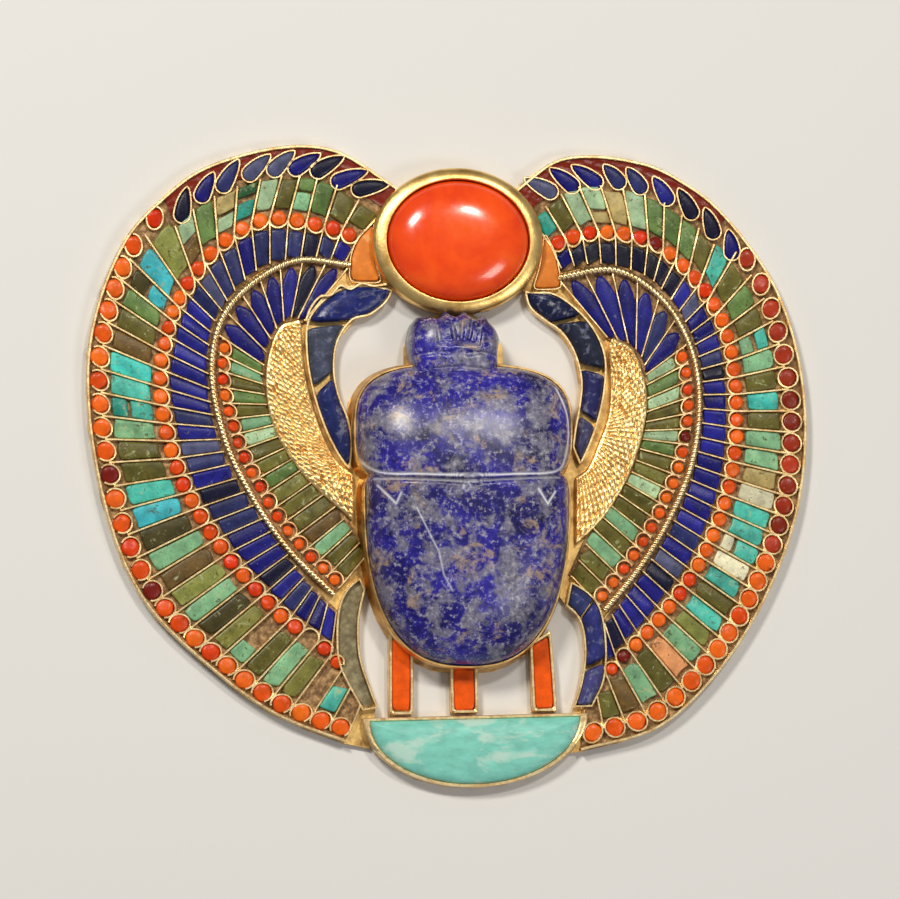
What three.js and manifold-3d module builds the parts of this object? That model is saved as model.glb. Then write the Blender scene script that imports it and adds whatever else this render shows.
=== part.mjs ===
// A winged scarab pectoral of gold cell-work set with stones, lying on its back.
// Millimetres. +X runs across the wings, +Y towards the sun disc, +Z out of the front.
// The origin is under the middle of the jewel, in the plane of its flat back.
import * as THREE from "three";
import { mergeVertices } from "three/addons/utils/BufferGeometryUtils.js";
import Module from "manifold-3d";

const wasm = await Module();
wasm.setup();

// Heights above the flat back
const PLATE_TOP = 1.0;
const SEAT = 0.05;
const FLOOR = PLATE_TOP + SEAT;
const BED_TOP = 1.35;
const STONE_TOP = 2.05;
const STUD_TOP = 2.3;
const RIM_TOP = 2.35;
const ROPE_TOP = 2.75;

// Thin gold and clearances
const WALL = 0.4;
const RIM_WIDTH = 0.75;
const ROPE_WIDTH = 1.0;
const CLEARANCE = 0.12;

// Rows of the wings, measured along a column from the rim inwards
const OUTER_STUD_RADIUS = 1.12;
const SECOND_STUD_RADIUS = 1.02;
const INNER_STUD_RADIUS = 0.78;
const DROP_LENGTH = 4.1;
const DROP_RADIUS = 0.95;
const STUD_SIDES = 5;
const ROW_GAP = 0.5;
const BED_MARGIN = 0.2;
const BAR_FOOT_INSET = 0.2;
const PLEAT_SLOPE = 0.6;
const DROP_BED_START = RIM_WIDTH + 4 * CLEARANCE;
const DROP_END = RIM_WIDTH + DROP_LENGTH;
const OUTER_STUD_START = 1.12;
const OUTER_STUD_END = OUTER_STUD_START + 2 * OUTER_STUD_RADIUS;
const BAR_TO_SECOND_ROW = SECOND_STUD_RADIUS + 0.9;
const INNER_STUD_START = 0.8;
const INNER_STUD_END = INNER_STUD_START + 2 * INNER_STUD_RADIUS;

// How finely curved edges are cut into straight ones, and how far a joined piece bites in
const RIM_STEPS = 20;
const WIRE_STEPS = 16;
const LEG_STEPS = 3;
const LEG_OUTLINE_STEPS = 6;
const COLUMNS_PER_STUD_BED_STEP = 2;
const COLUMNS_PER_BAR_BED_STEP = 4;
const BITE = 0.15;
const CUT_TOP = 20;

// The wings are hand made and differ a little. Each guide holds one place for the same columns,
// from the sun disc round to the basket: rim edge, second row of discs, outer side of the wire.
const LEFT_WING = {
  name: "left",
  rim: [[-6.7, 40.0], [-16.6, 45.8], [-24.3, 46.2], [-35.8, 42.8], [-41.2, 38.8], [-47.2, 32.0],
    [-52.2, 16.8], [-50.7, -2.8], [-44.5, -19.3], [-33.2, -30.6], [-24.8, -36.3], [-15.0, -40.1]],
  studs: [[-13.1, 33.0], [-19.3, 34.9], [-27.2, 35.3], [-34.3, 30.7], [-37.0, 27.1], [-39.2, 23.6],
    [-41.8, 12.9], [-39.2, -1.2], [-33.1, -11.9], [-24.1, -22.0], [-17.6, -26.9], [-12.5, -33.9]],
  inside: [[-15.0, 29.5], [-20.3, 30.0], [-26.9, 28.7], [-31.5, 24.5], [-32.9, 22.2], [-34.4, 19.6],
    [-34.7, 10.3], [-32.1, 0.4], [-26.4, -8.7], [-20.2, -17.2], [-16.7, -20.9], [-11.9, -25.2]],
  wire: [[-14.3, 29.0], [-22.1, 29.5], [-28.7, 25.9], [-32.8, 21.0], [-34.3, 13.8], [-32.4, 3.6],
    [-28.3, -4.9], [-23.2, -12.2], [-16.6, -18.7]],
  covertEdge: [[-20.9, 20.9], [-23.1, 21.3], [-25.4, 19.1], [-26.6, 15.6], [-27.0, 11.6], [-25.4, 5.5],
    [-21.8, -0.6], [-16.0, -6.7], [-11.9, -13.0]],
  columns: 38,
  drops: 9,
  longFeathers: 7,
  innerColumns: 17,
  longFeatherShare: 0.36,
};

const RIGHT_WING = {
  name: "right",
  rim: [[9.2, 40.0], [16.6, 45.1], [28.5, 44.6], [35.0, 41.6], [39.9, 37.8], [48.2, 26.4],
    [52.2, 11.7], [51.5, -4.5], [46.3, -19.0], [38.2, -31.1], [30.3, -37.9], [19.3, -41.1]],
  studs: [[14.8, 32.3], [21.5, 34.3], [29.3, 33.2], [33.4, 30.4], [36.4, 27.4], [40.5, 20.6],
    [42.1, 10.7], [41.3, -1.4], [37.0, -13.2], [29.9, -22.9], [24.7, -28.1], [19.8, -33.9]],
  inside: [[16.4, 29.0], [21.9, 29.8], [28.7, 28.1], [31.2, 26.1], [33.5, 23.3], [36.1, 18.1],
    [37.3, 10.6], [36.0, 0.4], [31.8, -9.7], [25.9, -18.4], [22.8, -22.6], [18.8, -26.6]],
  wire: [[15.9, 27.5], [24.4, 28.7], [31.2, 24.6], [35.4, 17.5], [36.6, 10.3], [35.7, 1.7],
    [32.8, -6.1], [27.9, -14.3], [22.7, -20.7]],
  covertEdge: [[23.1, 19.0], [26.4, 18.1], [28.3, 16.1], [28.9, 13.3], [29.0, 7.8], [28.2, 3.3],
    [26.0, -2.2], [21.5, -8.4], [17.9, -15.8]],
  columns: 38,
  drops: 9,
  longFeathers: 6,
  innerColumns: 17,
  longFeatherShare: 0.36,
};

// Gold coverts: the crescents of scale work along the inner wings, from shoulder to bezel
const COVERT_TOP = 2.9;
const COVERT_SCALE_STEP = 0.35;
const COVERT_SCALE_LENGTH = 0.85;
const COVERT_EDGE = 0.6;
const COVERT_CREST = 0.55;
const COVERT_ROWS = 12;
const LEFT_COVERT = {
  outer: [[-21.9, 20.9], [-24.4, 20.0], [-26.5, 13.9], [-25.6, 5.9], [-21.4, -1.2], [-14.0, -8.0]],
  inner: [[-21.3, 19.8], [-21.1, 15.5], [-20.2, 10.3], [-17.9, 3.5], [-15.9, 0.2], [-14.0, -1.2]],
};
const RIGHT_COVERT = {
  outer: [[23.9, 18.9], [26.8, 17.3], [29.0, 10.3], [27.0, 0.6], [22.8, -7.0], [18.6, -11.2]],
  inner: [[23.3, 17.4], [23.6, 11.9], [23.2, 7.3], [21.8, 3.4], [20.2, -0.2], [18.6, -1.4]],
};

// Legs: the two edges of each cell, from the disc (or the scarab) outwards and down
const LEG_TOP = 3.1;
const LEG_EDGE_TOP = 1.9;
const LEG_PAD_TOP = 1.4;
const LEG_JOINT = 0.015;
const BARE_BED_TOP = 1.75;
const LEFT_FORELEG = {
  outer: [[-9.1, 25.6], [-14.3, 25.8], [-17.5, 24.3], [-20.3, 20.9], [-20.6, 16.8], [-19.8, 11.3],
    [-17.9, 5.4], [-16.0, 1.6], [-14.4, -0.6]],
  inner: [[-8.3, 25.3], [-9.1, 23.8], [-11.4, 21.9], [-14.0, 21.1], [-16.2, 17.9], [-16.7, 13.6],
    [-16.0, 10.0], [-14.6, 6.4], [-14.1, 3.2]],
  joints: [0, 0.4, 0.64, 1],
};
const RIGHT_FORELEG = {
  outer: [[11.8, 25.2], [15.1, 25.2], [18.6, 23.0], [21.4, 19.7], [22.8, 16.0], [22.7, 11.5],
    [21.8, 7.1], [20.6, 3.6], [19.2, 0.5]],
  inner: [[11.2, 25.5], [11.9, 23.2], [14.0, 21.4], [16.4, 19.7], [18.4, 16.6], [19.4, 12.6],
    [19.1, 8.8], [18.5, 5.4], [18.2, 3.0]],
  joints: [0, 0.3, 0.56, 0.78, 1],
};
const LEFT_HIND_LEG = {
  outer: [[-12.9, -16.4], [-14.6, -18.0], [-15.7, -20.3], [-16.1, -25.2], [-15.7, -28.8], [-12.4, -35.3]],
  inner: [[-12.2, -18.0], [-12.7, -20.0], [-13.1, -22.6], [-13.1, -25.5], [-12.7, -28.4], [-10.4, -34.9]],
  joints: [],
};
const RIGHT_HIND_LEG = {
  outer: [[17.9, -16.7], [20.5, -18.4], [21.9, -20.3], [22.8, -25.0], [22.5, -30.7], [20.8, -34.5]],
  inner: [[17.2, -20.0], [18.7, -21.4], [19.5, -23.2], [19.9, -27.0], [19.3, -31.4], [18.3, -34.6]],
  joints: [0, 0.28, 0.7, 1],
};

// Sun disc: a domed stone in a broad sloping ring
const DISC_CENTRE = [1.15, 32.5];
const DISC_RING_FOOT = [12.4, 10.6];
const DISC_STONE_EDGE = [10.2, 8.6];
const DISC_RING_TOP = 4.6;
const DISC_RING_FOOT_HEIGHT = 0.8;
const DISC_RING_LIP = 0.35;
const DISC_STONE_SEAT = 3.9;
const DISC_TOP = 6.8;
const DISC_SIDES = 24;
const DISC_LEVELS = 2;

// Scarab: thorax and wing cases are two domes on one stone, with the head before them
const BEZEL_TOP = 5.6;
const BEZEL_FLARE = 1.0;
const BEZEL_RIM = 0.45;
const WING_CASES = { centre: [2.3, -3.2], half: [14.7, 25.8], power: 2.6, top: 12.6, up: 3 };
const THORAX = { centre: [1.75, 5.0], half: [15.5, 9.2], power: 3.2, top: 13.0 };
const HEAD = { centre: [0.85, 15.4], half: [6.4, 6.0], power: 2.6, top: 9.2 };
const HEAD_FOOT = 0.9;
const HEAD_SIDES = 12;
const HEAD_TEETH = { count: 4, pitch: 2.1, width: 1.5, from: 19.5, to: 22.2, low: 3.2, high: 6.6 };
const SCARAB_SIDES = 22;
const DOME_LEVELS = 3;

// Basket below, its inlay, and the three strokes that join it to the scarab
const BASKET = { left: [-12.5, -36.5], right: [20.2, -35.5], depth: 10.4, wall: 0.75, top: 2.6 };
const BASKET_CORNER = 2;
const BASKET_STONE = { seat: 1.9, top: 3.6, heart: 0.42 };
const BASKET_SIDES = 12;
const STROKE_TOP = 2.2;
const STROKE_WALL = 0.55;
const STROKE_BED_TOP = 1.4;
const STROKES = {
  left: [[-8.6, -23.2], [-5.1, -25.6], [-5.1, -35.9], [-8.6, -36.0]],
  middle: [[0.2, -28.3], [4.2, -28.3], [4.3, -35.6], [0.4, -35.7]],
  right: [[11.8, -25.6], [14.9, -23.6], [15.8, -35.3], [12.2, -35.4]],
};

// Stones in the corners between the disc and the shoulders
const LEFT_CORNER = [[-10.9, 35.3], [-13.1, 32.7], [-14.1, 30.4], [-14.2, 26.8], [-9.9, 26.8], [-10.8, 29.0]];
const RIGHT_CORNER = [[14.0, 33.8], [15.5, 31.0], [16.3, 26.2], [12.6, 26.0], [13.4, 29.0]];

// Where each half of the plate runs on: at the basket's end, then below, beside and above the
// middle of the scarab, inside the feet that it joins there
const LEFT_PLATE_ENDS = { basket: [-11.3, -40.8], middle: [[-8, -14], [-8, 2], [-3, 30]] };
const RIGHT_PLATE_ENDS = { basket: [17.6, -41.3], middle: [[13, -14], [13, 2], [5, 30]] };

// Colours of gold and stones
const finish = (color, roughness, metalness = 0) =>
  new THREE.MeshStandardMaterial({ color, roughness, metalness });
const GOLD = finish(0xc99a3c, 0.3, 1);
const SCALE_GOLD = finish(0xd8b060, 0.4, 1);
const LAPIS = finish(0x26348c, 0.3);
const DEEP_LAPIS = finish(0x1c2070, 0.25);
const CARNELIAN = finish(0xd23a12, 0.25);
const ORANGE_STONE = finish(0xe07a2c, 0.4);
const GREEN_STONE = finish(0x7d9a5a, 0.4);
const TURQUOISE = finish(0x6fc7bb, 0.4);
const BARE_BED = finish(0x6e6650, 0.8);

const jewel = new THREE.Group();

function place(name, geometry, material) {
  const mesh = new THREE.Mesh(geometry, material);
  mesh.name = name;
  jewel.add(mesh);
}

// A closed mesh becomes a solid for cutting and joining, and a solid a mesh again
function toSolid(geometry) {
  const plain = geometry.clone();
  plain.deleteAttribute("normal");
  plain.deleteAttribute("uv");
  const merged = mergeVertices(plain, 1e-4);
  return new wasm.Manifold(new wasm.Mesh({
    numProp: 3,
    vertProperties: new Float32Array(merged.attributes.position.array),
    triVerts: new Uint32Array(merged.index.array),
  }));
}

function toGeometry(solid) {
  const { numProp, vertProperties, triVerts } = solid.getMesh();
  const count = vertProperties.length / numProp;
  const places = new Float32Array(count * 3);
  for (let i = 0; i < count; i++) {
    places.set(vertProperties.subarray(i * numProp, i * numProp + 3), i * 3);
  }
  const geometry = new THREE.BufferGeometry();
  geometry.setAttribute("position", new THREE.BufferAttribute(places, 3));
  geometry.setIndex(new THREE.BufferAttribute(new Uint32Array(triVerts), 1));
  return geometry;
}

const joined = (solids) => solids.reduce((whole, piece) => whole.add(piece));
const curve = (places) =>
  new THREE.CatmullRomCurve3(places.map(([x, y]) => new THREE.Vector3(x, y, 0)), false, "centripetal");
const flat = (point) => [point.x, point.y];
const mix = (a, b, share) => [a[0] + (b[0] - a[0]) * share, a[1] + (b[1] - a[1]) * share];
const distance = (a, b) => Math.hypot(b[0] - a[0], b[1] - a[1]);

// An upright prism over a flat outline
function prism(outline, bottom, top) {
  const shape = new THREE.Shape(outline.map(([x, y]) => new THREE.Vector2(x, y)));
  const geometry = new THREE.ExtrudeGeometry(shape, { depth: top - bottom, bevelEnabled: false });
  geometry.translate(0, 0, bottom);
  return geometry;
}

// A body over closed rings of equal count, from its underside up: each ring joins the next,
// the first and the last are closed by a fan to their own middle
function stacked(rings) {
  const sides = rings[0].length;
  const places = rings.flat();
  const middle = (ring) => [0, 1, 2].map((axis) => ring.reduce((sum, p) => sum + p[axis], 0) / sides);
  const low = places.push(middle(rings[0])) - 1;
  const high = places.push(middle(rings[rings.length - 1])) - 1;
  const faces = [];
  for (let side = 0; side < sides; side++) {
    const next = (side + 1) % sides;
    faces.push(low, next, side);
    for (let level = 0; level < rings.length - 1; level++) {
      const below = level * sides;
      const above = below + sides;
      faces.push(below + side, below + next, above + next);
      faces.push(below + side, above + next, above + side);
    }
    const last = (rings.length - 1) * sides;
    faces.push(high, last + side, last + next);
  }
  return closedGeometry(places, faces);
}

// A closed mesh from places and faces, turned outwards if its faces point in
function closedGeometry(places, faces) {
  const corner = (index) => new THREE.Vector3(...places[index]);
  let volume = 0;
  for (let i = 0; i < faces.length; i += 3) {
    volume += corner(faces[i]).cross(corner(faces[i + 1])).dot(corner(faces[i + 2]));
  }
  const geometry = new THREE.BufferGeometry();
  geometry.setAttribute("position", new THREE.Float32BufferAttribute(places.flat(), 3));
  geometry.setIndex(volume < 0 ? faces.reverse() : faces);
  return geometry;
}

// A superellipse outline, counter-clockwise: |x/a|^n + |y/b|^n = 1
function roundedOutline(centre, half, power, sides, upHalf = half[1]) {
  const outline = [];
  for (let side = 0; side < sides; side++) {
    const angle = (2 * Math.PI * (side + 0.5)) / sides;
    const c = Math.cos(angle);
    const s = Math.sin(angle);
    const reach = (Math.abs(c) ** power + Math.abs(s) ** power) ** (-1 / power);
    outline.push([centre[0] + half[0] * c * reach, centre[1] + (s > 0 ? upHalf : half[1]) * s * reach]);
  }
  return outline;
}

const ringAt = (outline, centre, shrink, z) =>
  outline.map((p) => [centre[0] + (p[0] - centre[0]) * shrink, centre[1] + (p[1] - centre[1]) * shrink, z]);

// A stone with upright sides up to its seat and a dome above, z = seat + rise (1 - r^2.6)^(1/2.6)
function domedStone(outline, centre, base, seat, top, levels) {
  const bulge = 2.6;
  const rings = [ringAt(outline, centre, 1, base), ringAt(outline, centre, 1, seat)];
  for (let level = 1; level <= levels; level++) {
    const shrink = Math.cos((level / (levels + 0.6)) * Math.PI / 2);
    rings.push(ringAt(outline, centre, shrink, seat + (top - seat) * (1 - shrink ** bulge) ** (1 / bulge)));
  }
  return stacked(rings);
}

// A strip beside a curve, between two distances to the left of its direction
function strip(path, near, far, steps, bottom, top) {
  const nearSide = [];
  const farSide = [];
  for (let step = 0; step <= steps; step++) {
    const point = path.getPointAt(step / steps);
    const along = path.getTangentAt(step / steps);
    nearSide.push([point.x - along.y * near, point.y + along.x * near]);
    farSide.push([point.x - along.y * far, point.y + along.x * far]);
  }
  return prism([...nearSide, ...farSide.reverse()], bottom, top);
}

// Places on a wall's line, in mm from the rim, from the row of discs or from the inner end
const fromRim = (depth) => ({ rim, row }) => mix(rim, row, depth / distance(rim, row));
const outOfRow = (depth) => ({ rim, row }) => mix(row, rim, depth / distance(rim, row));
const intoRow = (depth) => ({ row, inside }) => mix(row, inside, depth / distance(row, inside));
const fromInside = (depth) => ({ row, inside }) => mix(inside, row, depth / distance(row, inside));

// The outer wing's cell walls: a line for each, from the rim through the discs to the wire
function outerLines(wing) {
  const guides = { rim: curve(wing.rim), row: curve(wing.studs), inside: curve(wing.inside) };
  const lines = [];
  for (let column = 0; column <= wing.columns; column++) {
    const t = guides.row.getUtoTmapping(column / wing.columns);
    lines.push(lineAt(guides, t));
  }
  return lines;
}

// The inner wing's walls run from the wire (its rim) to the covert: long feathers, then short bars
function innerLines(wing) {
  const wire = curve(wing.wire);
  const guides = { rim: wire, row: curve(wing.covertEdge), inside: curve(wing.covertEdge) };
  const lines = [];
  for (let column = 0; column <= wing.longFeathers + wing.innerColumns; column++) {
    const short = (column - wing.longFeathers) / wing.innerColumns;
    const u = short < 0
      ? (wing.longFeatherShare * column) / wing.longFeathers
      : wing.longFeatherShare + (1 - wing.longFeatherShare) * short;
    lines.push(lineAt(guides, wire.getUtoTmapping(u)));
  }
  return lines;
}

function lineAt(guides, t) {
  const at = (guide) => {
    const point = guide.getPoint(t);
    return [point.x, point.y];
  };
  return { rim: at(guides.rim), row: at(guides.row), inside: at(guides.inside) };
}

// How far a place lies to the left of the line from one place to another
function leftOf(place, from, to) {
  const across = (to[0] - from[0]) * (place[1] - from[1]) - (to[1] - from[1]) * (place[0] - from[0]);
  return across / distance(from, to);
}

// The two ends of a flat stone's edge: half a wall in from its wall's line, at the stone's two ends
function edgeBeside(from, to, other, farOther) {
  const inset = (end, across) => mix(end, across, WALL / 2 / Math.abs(leftOf(across, from, to)));
  return [inset(from, other), inset(to, farOther)].map((place) => [...place, STONE_TOP]);
}

// One end of a pleated stone's ridge, midway between its walls, higher where they are further apart
function ridgeEnd(a, b, farA, farB) {
  const fromA = Math.abs(leftOf(b, a, farA));
  const fromB = Math.abs(leftOf(a, b, farB));
  const share = fromB / (fromA + fromB);
  return [...mix(a, b, share), BED_TOP + PLEAT_SLOPE * share * fromA];
}

// A drop with its round end inwards and its point at the rim, leaning towards the disc
function dropOutline(lineA, lineB) {
  const tip = fromRim(RIM_WIDTH + ROW_GAP)(lineA);
  const depth = fromRim(RIM_WIDTH + DROP_LENGTH - DROP_RADIUS);
  const heart = mix(depth(lineA), depth(lineB), 0.5);
  const lean = Math.atan2(tip[1] - heart[1], tip[0] - heart[0]);
  const round = [80, 130, 180, 230, 280].map((degrees) => {
    const angle = lean + THREE.MathUtils.degToRad(degrees);
    return [heart[0] + DROP_RADIUS * Math.cos(angle), heart[1] + DROP_RADIUS * Math.sin(angle)];
  });
  return [tip, ...round];
}

// A low faceted cabochon over any outline
function cabochon(outline) {
  const heart = [0, 1].map((axis) => outline.reduce((sum, p) => sum + p[axis], 0) / outline.length);
  const places = ringAt(outline, heart, 1, BED_TOP - BITE);
  const foot = places.push([...heart, BED_TOP - BITE]) - 1;
  const crown = places.push([...heart, STUD_TOP]) - 1;
  const faces = outline.flatMap((_, side) => {
    const next = (side + 1) % outline.length;
    return [side, next, crown, next, side, foot];
  });
  return closedGeometry(places, faces);
}

function discOutline(lineA, lineB, depth, radius) {
  const heart = mix(depth(lineA), depth(lineB), 0.5);
  return roundedOutline(heart, [radius, radius], 2, STUD_SIDES);
}

// The walls at which a row's bed turns: every few columns
function bedStations(lines, columnsPerStep) {
  const steps = Math.max(1, Math.round((lines.length - 1) / columnsPerStep));
  return Array.from({ length: steps + 1 }, (_, step) => Math.round((step * (lines.length - 1)) / steps));
}

// The bed of a row: one band of mastic under all its stones
function bed(lines, low, high) {
  const walls = bedStations(lines, COLUMNS_PER_STUD_BED_STEP).map((i) => lines[i]);
  return prism([...walls.map(low), ...walls.map(high).reverse()], FLOOR, BED_TOP);
}

// The largest body of a solid, once whatever crosses it has been cut away
function trimmed(solid, away) {
  const bodies = solid.subtract(away).decompose();
  bodies.sort((a, b) => b.volume() - a.volume());
  return toGeometry(bodies[0]);
}

// A row of round stones on its bed
function studRow(lines, low, high, outlineBetween) {
  const pieces = [toSolid(bed(lines, low, high))];
  for (let i = 0; i + 1 < lines.length; i++) {
    pieces.push(toSolid(cabochon(outlineBetween(lines[i], lines[i + 1]))));
  }
  return joined(pieces);
}

// A row of long stones side by side, parted by grooves down to the bed: flat on top, or pleated,
// with one ridge along each stone where they are narrow
function barRow(lines, low, high, pleated) {
  const places = [];
  const faces = [];
  const add = (place) => places.push(place) - 1;
  const quad = (a, b, c, d) => faces.push(a, b, c, a, c, d);
  const chain = (end) => lines.map((line, at) => ({ vertex: add([...end(line), BED_TOP]), at }));
  const lowChain = chain(low);
  const highChain = chain(high);
  for (let i = 0; i + 1 < lines.length; i++) {
    const [a, farA] = [low(lines[i]), high(lines[i])];
    const [b, farB] = [low(lines[i + 1]), high(lines[i + 1])];
    const tops = pleated
      ? [[ridgeEnd(a, b, farA, farB), ridgeEnd(farA, farB, a, b)]]
      : [edgeBeside(a, farA, b, farB), edgeBeside(b, farB, a, farA)];
    const lowEnd = [lowChain[i].vertex, ...tops.map(([top]) => add(top)), lowChain[i + 1].vertex];
    const highEnd = [highChain[i].vertex, ...tops.map(([, top]) => add(top)), highChain[i + 1].vertex];
    for (let j = 0; j + 1 < lowEnd.length; j++) {
      quad(lowEnd[j], lowEnd[j + 1], highEnd[j + 1], highEnd[j]);
    }
    for (let j = 1; j + 1 < lowEnd.length; j++) {
      faces.push(lowEnd[0], lowEnd[j + 1], lowEnd[j], highEnd[0], highEnd[j], highEnd[j + 1]);
    }
  }
  const stations = bedStations(lines, COLUMNS_PER_BAR_BED_STEP);
  const footAt = (at, share) => {
    const place = mix(low(lines[at]), high(lines[at]), share);
    return { vertex: add([...place, FLOOR]), at };
  };
  const lowFeet = stations.map((i) => footAt(i, BAR_FOOT_INSET));
  const highFeet = stations.map((i) => footAt(i, 1 - BAR_FOOT_INSET));
  for (let k = 0; k + 1 < stations.length; k++) {
    quad(lowFeet[k + 1].vertex, lowFeet[k].vertex, highFeet[k].vertex, highFeet[k + 1].vertex);
  }
  skirt(faces, lowChain, lowFeet, false);
  skirt(faces, highChain, highFeet, true);
  quad(lowChain[0].vertex, highChain[0].vertex, highFeet[0].vertex, lowFeet[0].vertex);
  const last = (corners) => corners[corners.length - 1].vertex;
  quad(last(highChain), last(lowChain), last(lowFeet), last(highFeet));
  return toSolid(closedGeometry(places, faces));
}

// The side of a row, between its many upper corners and its few lower ones
function skirt(faces, chain, feet, flip) {
  let j = 0;
  let k = 0;
  while (j + 1 < chain.length || k + 1 < feet.length) {
    const chainFirst = k + 1 === feet.length || (j + 1 < chain.length && chain[j + 1].at <= feet[k + 1].at);
    const face = chainFirst
      ? [chain[j + 1].vertex, chain[j].vertex, feet[k].vertex]
      : [feet[k].vertex, feet[k + 1].vertex, chain[j].vertex];
    faces.push(...(flip ? face.reverse() : face));
    j += chainFirst ? 1 : 0;
    k += chainFirst ? 0 : 1;
  }
}

// An outline grown by an even distance from its centre
const grown = (outline, centre, by) => outline.map((p) => {
  const reach = distance(centre, p);
  return mix(centre, p, (reach + by) / reach);
});

// The outline between two edges, as of a leg's cell or a covert
function bandOutline(band, steps) {
  const outer = curve(band.outer).getPoints(steps);
  const inner = curve(band.inner).getPoints(steps);
  return [...outer.map(flat), ...inner.map(flat).reverse()];
}

// One inlay of a leg, between two shares of its length, with an arched back
function legInlay(leg, from, to) {
  const outer = curve(leg.outer);
  const inner = curve(leg.inner);
  const rings = [];
  for (let step = 0; step <= LEG_STEPS; step++) {
    const t = from + LEG_JOINT + ((to - from - 2 * LEG_JOINT) * step) / LEG_STEPS;
    const a = flat(outer.getPoint(t));
    const b = flat(inner.getPoint(t));
    const inset = WALL / distance(a, b);
    const rim = mix(a, b, inset);
    const crown = mix(a, b, 0.5);
    const gap = mix(b, a, inset);
    const base = LEG_PAD_TOP + SEAT;
    rings.push([
      [...rim, base],
      [...rim, LEG_EDGE_TOP],
      [...crown, LEG_TOP],
      [...gap, LEG_EDGE_TOP],
      [...gap, base],
    ]);
  }
  return stacked(rings);
}

// A covert: rows of scales as low steps, each rising towards the next
function covertBody(covert) {
  const outer = curve(covert.outer);
  const inner = curve(covert.inner);
  const rings = [];
  const ring = (t, lift) => {
    const a = flat(outer.getPoint(t));
    const b = flat(inner.getPoint(t));
    const top = COVERT_TOP - lift;
    rings.push([[...a, FLOOR], [...a, top - COVERT_EDGE], [...mix(a, b, COVERT_CREST), top], [...b, FLOOR]]);
  };
  for (let scale = 0; scale < COVERT_ROWS; scale++) {
    ring(scale / COVERT_ROWS, COVERT_SCALE_STEP);
    ring((scale + COVERT_SCALE_LENGTH) / COVERT_ROWS, 0);
  }
  ring(1, COVERT_SCALE_STEP);
  return stacked(rings);
}

// Outlines of the middle
const outlineOf = (shape, sides) =>
  roundedOutline(shape.centre, shape.half, shape.power, sides, shape.up);
const wingCases = outlineOf(WING_CASES, SCARAB_SIDES);
const thorax = outlineOf(THORAX, SCARAB_SIDES);
const head = outlineOf(HEAD, HEAD_SIDES);
const discFoot = roundedOutline(DISC_CENTRE, DISC_RING_FOOT, 2, DISC_SIDES);
const discEdge = roundedOutline(DISC_CENTRE, DISC_STONE_EDGE, 2, DISC_SIDES);

// The basket: straight above, half an ellipse below; an inset outline follows its inside
function basketOutline(inset) {
  const middle = mix(BASKET.left, BASKET.right, 0.5);
  const tilt = (BASKET.right[1] - BASKET.left[1]) / (BASKET.right[0] - BASKET.left[0]);
  const half = (BASKET.right[0] - BASKET.left[0]) / 2 - inset * BASKET_CORNER;
  const outline = [];
  for (let side = 0; side <= BASKET_SIDES; side++) {
    const angle = Math.PI * (1 + side / BASKET_SIDES);
    const x = half * Math.cos(angle);
    const y = (BASKET.depth - inset * 2) * Math.sin(angle);
    outline.push([middle[0] + x, middle[1] - inset + tilt * x + y]);
  }
  return outline;
}

const room = (outline) => toSolid(prism(outline, -CUT_TOP, CUT_TOP));
const upright = (outline, by, centre) => room(grown(outline, centre, by));
const middleOf = (outline) => mix(outline[0], outline[Math.floor(outline.length / 2)], 0.5);

// What the wings' rows are cut back from
const middleKeepOut = joined([
  upright(discFoot, CLEARANCE, DISC_CENTRE),
  upright(wingCases, BEZEL_FLARE + CLEARANCE, WING_CASES.centre),
  upright(thorax, BEZEL_FLARE + CLEARANCE, THORAX.centre),
  room(basketOutline(-CLEARANCE)),
]);

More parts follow.
